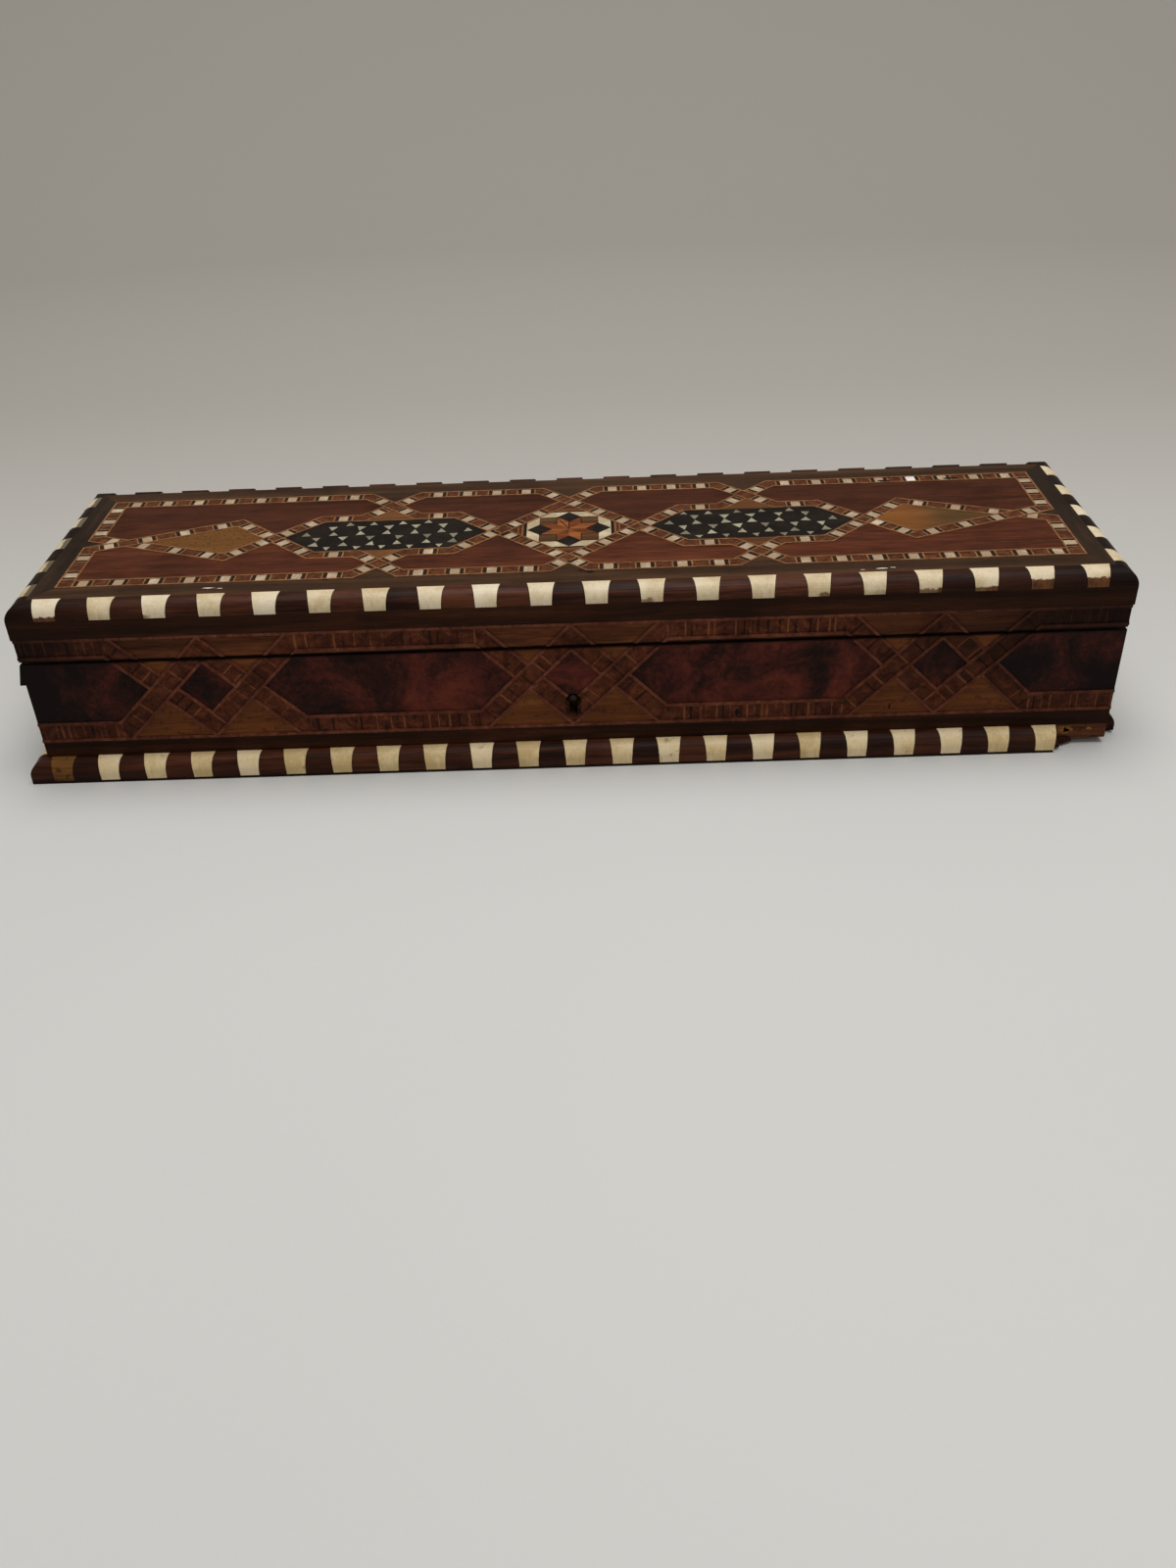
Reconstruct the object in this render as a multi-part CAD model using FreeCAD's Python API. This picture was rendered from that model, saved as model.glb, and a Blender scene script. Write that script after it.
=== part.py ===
import FreeCAD, Part
import collections
import itertools
import math
import os

# An old marquetry box with a hinged lid. Its boards are clad in veneer, inlaid straps interlace on the
# lid, the front and the ends, and bone and rosewood blocks edge the lid and the plinth.
# Millimetres. X runs along the box, -Y is the front and +Z is up.
# The origin is on the floor, under the middle of the box.

# Overall sizes
box_length = 300.0
box_depth = 82.0
case_height = 36.0
lid_height = 16.5
seam_gap = 0.8

# Boards and skins
wall_thickness = 6.4
base_thickness = 4.5
lid_board_thickness = 6.0
veneer_thickness = 0.9
stringing_proud = 0.12

# Blocked edging round the top of the lid, and the plain rim under it
edge_width = 4.6
edge_drop = 4.2
edge_bone_outer = 6.6
edge_bone_inner = 7.7
edge_bone_pitch = 14.6
edge_end_margin = 10.7
rim_proud = 0.4

# Blocked plinth, its thin footing strips and the stretch of it that is broken off
plinth_height = 6.4
plinth_projection = 4.4
plinth_rounding = 3.8
plinth_bone_outer = 5.9
plinth_bone_inner = 7.2
plinth_bone_pitch = 13.2
plinth_end_margin = 9.2
footing_height = 0.8
break_along_front = 15.5
break_along_end = 6.5
break_slant = 1.6

# Inlaid straps on the top of the lid
top_strap_width = 4.5
top_stringing_width = 0.5
top_border_end = 5.6
top_border_side = 6.6
figure_shift = 1.4
diamond_half_share = 0.7368
hexagon_half_share = 0.4574
hexagon_flat_share = 0.2893
kite_short_side = 12.0
kite_end_share = 0.9305
bone_slip_length = 2.7
bone_slip_pitch = 9.75
whole_slip_share = 0.6

# Inlaid straps on the front and the ends
side_pattern_foot = 11.3
lid_pattern_height = 6.8
side_strap_width = 6.1
side_stringing_width = 0.8
motif_pitch = 100.5
front_motifs = 3
end_motifs = 1

# Hinges let into the back, with bevelled edges that stop the lid
hinge_from_end = 62.0
hinge_inset = 2.2
hinge_length = 24.0
knuckle_radius = 1.8
knuckle_gap = 0.2
hinge_pin_radius = 0.75
pin_clearance = 0.05
leaf_thickness = 0.8
leaf_margin = 0.3
mortise_clearance = 0.3
bevel_angle = 50.0

# Lock let into the front wall from inside, and the hooked plate on the lid
lock_length = 40.0
lock_foot_gap = 4.6
lock_plate_thickness = 1.0
lock_pocket_margin = 3.5
lock_pocket_depth = 3.4
lock_pocket_foot = 2.5
selvedge_depth = 1.2
hook_spread = 14.0
hook_width = 5.0
hook_thickness = 1.6
hook_drop = 6.2
hook_notch_height = 2.2
hook_notch_depth = 3.0
hook_lip = 1.8
hook_clearance = 0.6
catch_length = 32.0
catch_depth = 4.8
catch_thickness = 1.0
bolt_travel = 3.0
bolt_clearance = 0.4
bolt_bar_height = 5.0
bolt_stem_width = 1.7
bolt_talon_width = 4.0
bolt_talon_height = 2.0
spring_thickness = 0.6
spring_length = 8.5
spring_root_share = 0.55
keyhole_rise = 12.9
keyhole_radius = 2.3
keyhole_slot_width = 2.4
keyhole_slot_drop = 5.2
key_pin_radius = 0.9
key_pin_inset = 1.5

# Modelling limits
overrun = 2.0
same_point = 0.001
smallest_chip = 0.05
least_flat = 0.3
edge_flats = 2

# Directions
Point = FreeCAD.Vector
origin = Point(0, 0, 0)
along_x = Point(1, 0, 0)
along_y = Point(0, 1, 0)
along_z = Point(0, 0, 1)
quarter_turn = 90.0
half_right = math.sqrt(2) / 2

# Sizes that follow from the ones above
box_height = case_height + seam_gap + lid_height
bed_length = box_length - 2 * veneer_thickness
bed_depth = box_depth - 2 * veneer_thickness
bed_height = box_height - veneer_thickness
inner_length = bed_length - 2 * wall_thickness
inner_depth = bed_depth - 2 * wall_thickness
lid_foot = case_height + seam_gap
lid_board_foot = bed_height - lid_board_thickness
edge_foot = box_height - edge_drop
side_pattern_head = lid_foot + lid_pattern_height
hinge_y = box_depth / 2 - hinge_inset
hinge_z = case_height + seam_gap / 2
bevel_slope = math.tan(math.radians(bevel_angle))

nodes = {}


def add_node(name, solids):
    """Keep a list of solids under one node's name."""
    nodes[name] = solids[0] if len(solids) == 1 else Part.Compound(solids)


def box(low_x, high_x, low_y, high_y, low_z, high_z):
    """A block between two planes on each axis."""
    return Part.makeBox(high_x - low_x, high_y - low_y, high_z - low_z, Point(low_x, low_y, low_z))


def flat_point(along, across):
    return Point(along, across, 0)


def rectangle(low_x, high_x, low_y, high_y):
    """A flat outline, corner by corner."""
    return [
        flat_point(low_x, low_y),
        flat_point(high_x, low_y),
        flat_point(high_x, high_y),
        flat_point(low_x, high_y),
    ]


def neighbours(outline):
    return zip(outline, outline[1:] + outline[:1])


def area_of(outline):
    """The area inside a flat outline."""
    return abs(sum(start.x * end.y - end.x * start.y for start, end in neighbours(outline))) / 2


def middle_of(outline):
    """The mean of an outline's corners."""
    return sum(outline, origin) * (1 / len(outline))


def clip(outline, point, inward):
    """The part of a convex outline on the inward side of a line through a point."""
    kept = []
    for start, end in neighbours(outline):
        start_side = (start - point).dot(inward)
        end_side = (end - point).dot(inward)
        if start_side >= 0:
            kept.append(start)
        if start_side * end_side < 0:
            kept.append(start + (end - start) * (start_side / (start_side - end_side)))
    return [end for start, end in neighbours(kept) if (end - start).Length > same_point]


def is_piece(outline):
    return len(outline) > 2 and area_of(outline) > smallest_chip


def clip_all(outlines, limits):
    """Convex outlines cut to a list of (point, inward) lines, without the crumbs."""
    for point, inward in limits:
        outlines = [clip(outline, point, inward) for outline in outlines]
    return [outline for outline in outlines if is_piece(outline)]


def flat_face(outline):
    return Part.Face(Part.makePolygon(outline + outline[:1]))


def left_between(zone, covers):
    """What a zone shows between the outlines that cover it, as outlines."""
    rest = flat_face(zone).cut([flat_face(cover) for cover in covers])
    outlines = [[vertex.Point for vertex in face.OuterWire.OrderedVertexes] for face in rest.Faces]
    return [outline for outline in outlines if is_piece(outline)]


Bed = collections.namedtuple("Bed", "corner across up out")
top_bed = Bed(along_z * bed_height, along_x, along_y, along_z)
front_bed = Bed(along_y * (-bed_depth / 2), along_x, along_z, along_y * -1)
left_bed = Bed(along_x * (-bed_length / 2), along_y, along_z, along_x * -1)
right_bed = Bed(along_x * (bed_length / 2), along_y, along_z, along_x)


def lay(outlines, bed, thickness=veneer_thickness):
    """Veneer pieces of given outlines on one bed of the box."""
    pieces = []
    for outline in outlines:
        corners = [bed.corner + bed.across * point.x + bed.up * point.y for point in outline]
        pieces.append(flat_face(corners).extrude(bed.out * thickness))
    return pieces


class StrapRun:
    """One straight run of a strap, mitred to the runs before and after it."""

    def __init__(self, start, end, start_cut, end_cut):
        self.start = start
        self.end = end
        self.length = (end - start).Length
        self.along = (end - start) * (1 / self.length)
        self.across = Point(-self.along.y, self.along.x, 0)
        self.start_cut = start_cut
        self.end_cut = end_cut
        self.covered_by = []

    def rises(self):
        return self.along.x * self.along.y > 0

    def lane(self, low, high, reach):
        """The strip of the run between two offsets from its centre line."""
        back = self.start - self.along * reach
        ahead = self.end + self.along * reach
        strip = [
            back + self.across * low,
            ahead + self.across * low,
            ahead + self.across * high,
            back + self.across * high,
        ]
        return clip(clip(strip, self.start, self.start_cut), self.end, self.end_cut * -1)

    def part(self, outlines, low, high):
        """What lies between two distances along the run."""
        from_low = (self.start + self.along * low, self.along)
        to_high = (self.start + self.along * high, self.along * -1)
        return clip_all(outlines, [from_low, to_high])


def runs_of(path, closed):
    """The mitred straight runs of a strap through the points of a path."""
    points = path + path[:1] if closed else path
    ways = [(end - start).normalize() for start, end in zip(points, points[1:])]
    before = ways[-1:] + ways[:-1] if closed else ways[:1] + ways[:-1]
    after = ways[1:] + ways[:1] if closed else ways[1:] + ways[-1:]
    runs = []
    for index, way in enumerate(ways):
        runs.append(StrapRun(points[index], points[index + 1], before[index] + way, way + after[index]))
    return runs


def crossing(one, other, margin):
    """Where two runs cross, well inside their lengths, or None."""
    turn = one.along.cross(other.along).z
    if abs(turn) < same_point:
        return None
    apart = other.start - one.start
    on_one = apart.cross(other.along).z / turn
    on_other = apart.cross(one.along).z / turn
    if margin < on_one < one.length - margin and margin < on_other < other.length - margin:
        return one.start + one.along * on_one
    return None


def weave(runs, width, rising_is_over):
    """Note for each run which runs pass over it."""
    for one, other in itertools.combinations(runs, 2):
        place = crossing(one, other, width / 2)
        if place is not None:
            over, under = (one, other) if one.rises() == rising_is_over(place) else (other, one)
            under.covered_by.append(over)


def uncovered(run, outlines, width):
    """What still shows of a run's outlines beside the runs that pass over it."""
    for over in run.covered_by:
        halves = []
        for side in (over.across, over.across * -1):
            edge = over.start + side * (width / 2)
            halves += [clip(outline, edge, side) for outline in outlines]
        outlines = halves
    return [outline for outline in outlines if is_piece(outline)]


def strap_lanes(run, width, line):
    """A run's core and its two lines of stringing."""
    half = width / 2
    core = uncovered(run, [run.lane(line - half, half - line, width)], width)
    lines = [run.lane(-half, line - half, width), run.lane(half - line, half, width)]
    return core, uncovered(run, lines, width)


# Boards of the case

def in_front_of_bevel(is_lid):
    """The two lines that bound a case or lid outline at the seam, in Y and Z."""
    side = 1 if is_lid else -1
    level = lid_foot if is_lid else case_height
    seam = flat_point(hinge_y, level)
    return [(seam, Point(0, side, 0)), (seam, Point(-bevel_slope, side, 0))]


def back_profile(low_y, high_y, low_z, high_z, is_lid):
    """A board at the back, seen from the end, with its meeting edge bevelled behind the hinge line."""
    outline = clip_all([rectangle(low_y, high_y, low_z, high_z)], in_front_of_bevel(is_lid))[0]
    return [Point(0, point.x, point.y) for point in outline]


def back_board(length, low_y, high_y, low_z, high_z, is_lid):
    face = flat_face(back_profile(low_y, high_y, low_z, high_z, is_lid))
    face.translate(along_x * (-length / 2))
    return face.extrude(along_x * length)


def four_walls(low_z, high_z, is_lid):
    """Front, back, left and right boards: the long boards run through, the short ones stand between."""
    front = box(-bed_length / 2, bed_length / 2, -bed_depth / 2, -inner_depth / 2, low_z, high_z)
    back = back_board(bed_length, inner_depth / 2, bed_depth / 2, low_z, high_z, is_lid)
    left = box(-bed_length / 2, -inner_length / 2, -inner_depth / 2, inner_depth / 2, low_z, high_z)
    right = box(inner_length / 2, bed_length / 2, -inner_depth / 2, inner_depth / 2, low_z, high_z)
    return front, back, left, right


# Hinges

Hinge = collections.namedtuple("Hinge", "case_leaf lid_leaf pin mortise case_seat lid_seat")


def x_cylinder(radius, low_x, high_x):
    """A cylinder on the hinge line."""
    return Part.makeCylinder(radius, high_x - low_x, Point(low_x, hinge_y, hinge_z), along_x)


def hinge(centre):
    """A butt hinge of three knuckles, with the seats that let it into the case and the lid."""
    low_x = centre - hinge_length / 2
    high_x = centre + hinge_length / 2
    knuckle_length = hinge_length / 3
    leaf_front = inner_depth / 2 + leaf_margin
    leaf_back = hinge_y - knuckle_radius - knuckle_gap
    inner_low = low_x + knuckle_length
    inner_high = high_x - knuckle_length
    bore = x_cylinder(hinge_pin_radius + pin_clearance, low_x - overrun, high_x + overrun)

    def leaf(low_z, knuckles):
        high_z = low_z + leaf_thickness
        plate = box(low_x, high_x, leaf_front, leaf_back, low_z, high_z)
        tabs = [box(start, end, leaf_back, hinge_y, low_z, high_z) for start, end in knuckles]
        barrels = [x_cylinder(knuckle_radius, start, end) for start, end in knuckles]
        return plate.fuse(tabs + barrels).removeSplitter().cut(bore)

    outer = [(low_x, inner_low - knuckle_gap / 2), (inner_high + knuckle_gap / 2, high_x)]
    inner = [(inner_low + knuckle_gap / 2, inner_high - knuckle_gap / 2)]
    reach = knuckle_radius + mortise_clearance
    mortise_low, mortise_high = low_x - mortise_clearance, high_x + mortise_clearance
    mortise_back = box_depth / 2 + overrun
    mortise = box(mortise_low, mortise_high, hinge_y - reach, mortise_back, hinge_z - reach, hinge_z + reach)
    case_leaf_foot = case_height - leaf_thickness
    case_seat = box(low_x, high_x, leaf_front, hinge_y, case_leaf_foot, case_height + overrun)
    lid_seat = box(low_x, high_x, leaf_front, hinge_y, lid_foot - overrun, lid_foot + leaf_thickness)
    return Hinge(
        leaf(case_leaf_foot, outer),
        leaf(lid_foot, inner),
        x_cylinder(hinge_pin_radius, low_x, high_x),
        mortise,
        case_seat,
        lid_seat,
    )


hinge_x = box_length / 2 - hinge_from_end
hinges = {"left": hinge(-hinge_x), "right": hinge(hinge_x)}
hinge_mortises = [one.mortise for one in hinges.values()]
case_hinge_seats = [one.case_seat for one in hinges.values()]
lid_hinge_seats = [one.lid_seat for one in hinges.values()]

# Lock

lock_foot = plinth_height + lock_foot_gap
pocket_foot = lock_foot + lock_pocket_foot
pocket_half = lock_length / 2 - lock_pocket_margin
keyhole_height = plinth_height + keyhole_rise
lock_face = -inner_depth / 2
lock_plate_back = lock_face - lock_plate_thickness
pocket_face = lock_plate_back - lock_pocket_depth
pocket_middle = (pocket_face + lock_plate_back) / 2
hook_xs = [-hook_spread / 2, hook_spread / 2]
hook_foot = lid_foot - hook_drop
notch_foot = hook_foot + hook_lip
bolt_top = hook_foot - bolt_clearance
bolt_low_y = pocket_face + bolt_clearance
bolt_high_y = lock_plate_back - bolt_clearance
selvedge_front = pocket_face - selvedge_depth
selvedge_foot = case_height - lock_plate_thickness
catch_half = catch_length / 2
catch_low_y = pocket_middle - catch_depth / 2
catch_high_y = pocket_middle + catch_depth / 2
catch_top = lid_foot + catch_thickness


def keyhole_cut():
    """The keyhole from the front to the lock's pocket: a round head over a slot."""
    start = -box_depth / 2 - overrun
    length = pocket_face - start
    head = Part.makeCylinder(keyhole_radius, length, Point(0, start, keyhole_height), along_y)
    slot_foot = keyhole_height - keyhole_slot_drop
    slot_half = keyhole_slot_width / 2
    slot = box(-slot_half, slot_half, start, pocket_face, slot_foot, keyhole_height)
    return head.fuse(slot)


def lock_plate():
    """The plate flush with the inside, its selvedge on top of the wall and the slots for the hooks."""
    half = lock_length / 2
    plate = box(-half, half, lock_plate_back, lock_face, lock_foot, case_height)
    selvedge = box(-half, half, selvedge_front, lock_plate_back, selvedge_foot, case_height)
    reach_x = hook_width / 2 + hook_clearance
    reach_y = hook_thickness / 2 + hook_clearance
    low_y, high_y = pocket_middle - reach_y, pocket_middle + reach_y
    low_z, high_z = selvedge_foot - overrun, case_height + overrun
    slots = [box(x - reach_x, x + reach_x, low_y, high_y, low_z, high_z) for x in hook_xs]
    return plate.fuse(selvedge).removeSplitter().cut(slots)


def lock_pocket():
    """What the front wall loses to the lock."""
    half = lock_length / 2
    top = case_height + overrun
    plate_seat = box(-half, half, lock_plate_back, lock_face + overrun, lock_foot, top)
    selvedge_seat = box(-half, half, selvedge_front, lock_plate_back, selvedge_foot, top)
    pocket = box(-pocket_half, pocket_half, pocket_face, lock_plate_back, pocket_foot, top)
    return [plate_seat, selvedge_seat, pocket]


def lock_bolt():
    """The sliding bolt: a bar with a talon for the key and two fingers that enter the hooks."""
    stem_offset = hook_width / 2 + bolt_clearance + bolt_travel
    finger_low = notch_foot + bolt_clearance
    finger_high = notch_foot + hook_notch_height - bolt_clearance
    bar_low = bolt_top - bolt_bar_height
    bar_start = hook_xs[0] + stem_offset - bolt_bar_height
    bar_end = hook_xs[1] + stem_offset + bolt_stem_width
    bar = box(bar_start, bar_end, bolt_low_y, bolt_high_y, bar_low, bolt_top)
    pieces = []
    for x in hook_xs:
        stem_x = x + stem_offset
        tip_x = stem_x - bolt_travel
        stem_end = stem_x + bolt_stem_width
        pieces.append(box(stem_x, stem_end, bolt_low_y, bolt_high_y, bolt_top, finger_high))
        pieces.append(box(tip_x, stem_x, bolt_low_y, bolt_high_y, finger_low, finger_high))
    talon_half = bolt_talon_width / 2
    talon_top = bar_low + bolt_talon_height
    talon_low_y, talon_high_y = bolt_low_y - overrun, bolt_high_y + overrun
    talon = box(-talon_half, talon_half, talon_low_y, talon_high_y, bar_low - overrun, talon_top)
    return bar.fuse(pieces).removeSplitter().cut(talon)


def bolt_spring():
    """A flat spring fixed to the end of the pocket, its free tip just under the bolt."""
    tip_x = spring_length - pocket_half
    tip_z = bolt_top - bolt_bar_height - bolt_clearance
    root_z = pocket_foot + (tip_z - pocket_foot) * spring_root_share
    outline = [
        Point(-pocket_half, bolt_low_y, root_z),
        Point(-pocket_half, bolt_low_y, root_z - spring_thickness),
        Point(tip_x, bolt_low_y, tip_z - spring_thickness),
        Point(tip_x, bolt_low_y, tip_z),
    ]
    return flat_face(outline).extrude(along_y * (bolt_high_y - bolt_low_y))


def catch_plate():
    """The plate under the lid's front rail, with two hooks that hang into the lock."""
    plate = box(-catch_half, catch_half, catch_low_y, catch_high_y, lid_foot, catch_top)
    low_y, high_y = pocket_middle - hook_thickness / 2, pocket_middle + hook_thickness / 2
    notch_low_y, notch_high_y = low_y - overrun, high_y + overrun
    notch_top = notch_foot + hook_notch_height
    hooks = []
    for x in hook_xs:
        low_x, high_x = x - hook_width / 2, x + hook_width / 2
        blank = box(low_x, high_x, low_y, high_y, hook_foot, lid_foot)
        notch_low_x, notch_high_x = high_x - hook_notch_depth, high_x + overrun
        notch = box(notch_low_x, notch_high_x, notch_low_y, notch_high_y, notch_foot, notch_top)
        hooks.append(blank.cut(notch))
    return plate.fuse(hooks).removeSplitter()


keyhole = keyhole_cut()

# Case

base_foot = plinth_height - base_thickness
case_front, case_back, case_left, case_right = four_walls(plinth_height, case_height, False)
base_half_x, base_half_y = box_length / 2, box_depth / 2
base_board = box(-base_half_x, base_half_x, -base_half_y, base_half_y, base_foot, plinth_height)
add_node("base_board", [base_board])
add_node("case_front_wall", [case_front.cut(lock_pocket() + [keyhole])])
add_node("case_back_wall", [case_back.cut(hinge_mortises + case_hinge_seats)])
add_node("case_left_wall", [case_left])
add_node("case_right_wall", [case_right])

# Lid

rail_front, rail_back, rail_left, rail_right = four_walls(lid_foot, lid_board_foot, True)
catch_seat = box(-catch_half, catch_half, catch_low_y, catch_high_y, lid_foot - overrun, catch_top)
flange_half_x, flange_half_y = bed_length / 2, bed_depth / 2
board_flange = box(-flange_half_x, flange_half_x, -flange_half_y, flange_half_y, lid_board_foot, edge_foot)
panel_half_x = box_length / 2 - edge_width
panel_half_y = box_depth / 2 - edge_width
board_panel = box(-panel_half_x, panel_half_x, -panel_half_y, panel_half_y, edge_foot, bed_height)
add_node("lid_top_board", [board_flange.fuse(board_panel).removeSplitter()])
add_node("lid_front_rail", [rail_front.cut(catch_seat)])
add_node("lid_back_rail", [rail_back.cut(hinge_mortises + lid_hinge_seats)])
add_node("lid_left_rail", [rail_left])
add_node("lid_right_rail", [rail_right])

# Plain rim strips under the edging, and the plain backs

rim_half_x = box_length / 2 + rim_proud
rim_half_y = box_depth / 2 + rim_proud
rim_low, rim_high = side_pattern_head, edge_foot
front_rim = box(-rim_half_x, rim_half_x, -rim_half_y, -bed_depth / 2, rim_low, rim_high)
back_rim = box(-rim_half_x, rim_half_x, bed_depth / 2, rim_half_y, rim_low, rim_high)
left_rim = box(-rim_half_x, -bed_length / 2, -bed_depth / 2, bed_depth / 2, rim_low, rim_high)
right_rim = box(bed_length / 2, rim_half_x, -bed_depth / 2, bed_depth / 2, rim_low, rim_high)
add_node("lid_front_rim", [front_rim])
add_node("lid_back_rim", [back_rim])
add_node("lid_end_rims", [left_rim, right_rim])
back_low_y, back_high_y = bed_depth / 2, box_depth / 2
case_back_veneer = back_board(box_length, back_low_y, back_high_y, plinth_height, case_height, False)
lid_back_veneer = back_board(box_length, back_low_y, back_high_y, lid_foot, side_pattern_head, True)
add_node("case_back_veneer", [case_back_veneer.cut(hinge_mortises)])
add_node("lid_back_veneer", [lid_back_veneer.cut(hinge_mortises)])

# Blocked edging of the lid and the plinth

Edging = collections.namedtuple("Edging", "low high width rounding bone_outer bone_inner pitch margin")


def edging_bar(edging, reach, half):
    """The whole edging along one side, its outer top edge rounded in a few flats."""
    outer, inner = -reach, edging.width - reach
    height = edging.high - edging.low
    rounding = min(edging.rounding, edging.width - least_flat, height)
    profile = [Point(-half, inner, edging.low), Point(-half, inner, edging.high)]
    for index in range(edge_flats + 1):
        angle = math.radians(quarter_turn * (1 - index / edge_flats))
        back = rounding * (1 - math.cos(angle))
        rise = rounding * (math.sin(angle) - 1)
        profile.append(Point(-half, outer + back, edging.high + rise))
    if rounding < height:
        profile.append(Point(-half, outer, edging.low))
    return flat_face(profile).extrude(along_x * (2 * half))


def block_plan(left, right, width, reach):
    """A block from above, between two lines given by where they meet its outer and its inner face."""

    def at(line, depth):
        return flat_point(line[0] + (line[1] - line[0]) * depth / width, depth - reach)

    far = width + overrun
    return [at(left, -overrun), at(right, -overrun), at(right, far), at(left, far)]


def edge_blocks(edging, reach, half, quarter_turns, breaks=()):
    """Bone and rosewood blocks along one side, mitred at the corners and turned from the front."""
    bar = edging_bar(edging, reach, half)
    span = 2 * (half - edging.margin)
    gaps = max(1, round(span / edging.pitch))
    lines = [(-half, edging.width - half)]
    for index in range(gaps + 1):
        centre = span * index / gaps - span / 2
        lines.append((centre - edging.bone_outer / 2, centre - edging.bone_inner / 2))
        lines.append((centre + edging.bone_outer / 2, centre + edging.bone_inner / 2))
    lines.append((half, half - edging.width))
    bones, rosewood = [], []
    for index, (left, right) in enumerate(zip(lines, lines[1:])):
        for plan in clip_all([block_plan(left, right, edging.width, reach)], breaks):
            foot = flat_face([corner + along_z * (edging.low - overrun) for corner in plan])
            column = foot.extrude(along_z * (edging.high - edging.low + 2 * overrun))
            block = bar.common(column).Solids[0]
            block.rotate(origin, along_z, quarter_turn * quarter_turns)
            (bones if index % 2 else rosewood).append(block)
    return bones, rosewood


lid_edging = Edging(
    low=edge_foot,
    high=box_height,
    width=edge_width + rim_proud,
    rounding=edge_drop,
    bone_outer=edge_bone_outer,
    bone_inner=edge_bone_inner,
    pitch=edge_bone_pitch,
    margin=edge_end_margin,
)
edge_bones, edge_rosewood = [], []
for turns, (reach, half) in enumerate([(rim_half_y, rim_half_x), (rim_half_x, rim_half_y)] * 2):
    bones, rosewood = edge_blocks(lid_edging, reach, half, turns)
    edge_bones += bones
    edge_rosewood += rosewood
add_node("lid_edge_bone_blocks", edge_bones)
add_node("lid_edge_rosewood_blocks", edge_rosewood)

plinth_half_x = box_length / 2 + plinth_projection
plinth_half_y = box_depth / 2 + plinth_projection
plinth_edging = Edging(
    low=footing_height,
    high=plinth_height,
    width=plinth_projection,
    rounding=plinth_rounding,
    bone_outer=plinth_bone_outer,
    bone_inner=plinth_bone_inner,
    pitch=plinth_bone_pitch,
    margin=plinth_end_margin,
)
front_break_place = flat_point(box_length / 2 - break_along_front, -plinth_half_y)
front_break = (front_break_place, Point(-plinth_projection, break_slant, 0))
end_break_place = flat_point(break_along_end - box_depth / 2, -plinth_half_x)
end_break = (end_break_place, Point(plinth_projection, break_slant, 0))
plinth_sides = [
    ("front", plinth_half_y, plinth_half_x, [front_break]),
    ("right", plinth_half_x, plinth_half_y, [end_break]),
    ("back", plinth_half_y, plinth_half_x, []),
    ("left", plinth_half_x, plinth_half_y, []),
]
plinth_bones, plinth_rosewood = [], []
for turns, (side, reach, half, breaks) in enumerate(plinth_sides):
    mitres = [(-half, plinth_projection - half), (half, half - plinth_projection)]
    plan = block_plan(mitres[0], mitres[1], plinth_projection, reach)
    within = [(flat_point(0, -reach), along_y), (flat_point(0, plinth_projection - reach), along_y * -1)]
    foot = flat_face(clip_all([plan], within + breaks)[0])
    footing = foot.extrude(along_z * footing_height)
    footing.rotate(origin, along_z, quarter_turn * turns)
    add_node("plinth_" + side + "_footing", [footing])
    if side == "back":
        moulding = edging_bar(plinth_edging, reach, half).common(foot.extrude(along_z * plinth_height))
        moulding.rotate(origin, along_z, quarter_turn * turns)
        add_node("plinth_back_moulding", moulding.Solids)
    else:
        bones, rosewood = edge_blocks(plinth_edging, reach, half, turns, breaks)
        plinth_bones += bones
        plinth_rosewood += rosewood
add_node("plinth_filler_block", plinth_bones[:1])
add_node("plinth_bone_blocks", plinth_bones[1:])
add_node("plinth_rosewood_blocks", plinth_rosewood)

# Straps, panels and stringing of the front and the ends

SidePattern = collections.namedtuple("SidePattern", "bands stringing triangles panels")


def motif_centre(index, motifs):
    return motif_pitch * (index - (motifs - 1) / 2)


def side_paths(half, motifs):
    """The two strap paths of a side: one peaks at each motif from the foot, one dips from the head."""
    drop = side_strap_width * half_right
    low = side_pattern_foot + side_strap_width / 2
    high = side_pattern_head - side_strap_width / 2
    peak = side_pattern_head - drop
    dip = side_pattern_foot + drop
    rising = [flat_point(-half, low)]
    falling = [flat_point(-half, high)]
    for index in range(motifs):
        centre = motif_centre(index, motifs)
        start, end = centre + low - peak, centre + peak - low
        rising += [flat_point(start, low), flat_point(centre, peak), flat_point(end, low)]
        falling += [flat_point(start, high), flat_point(centre, dip), flat_point(end, high)]
    return [rising + [flat_point(half, low)], falling + [flat_point(half, high)]]


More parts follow.
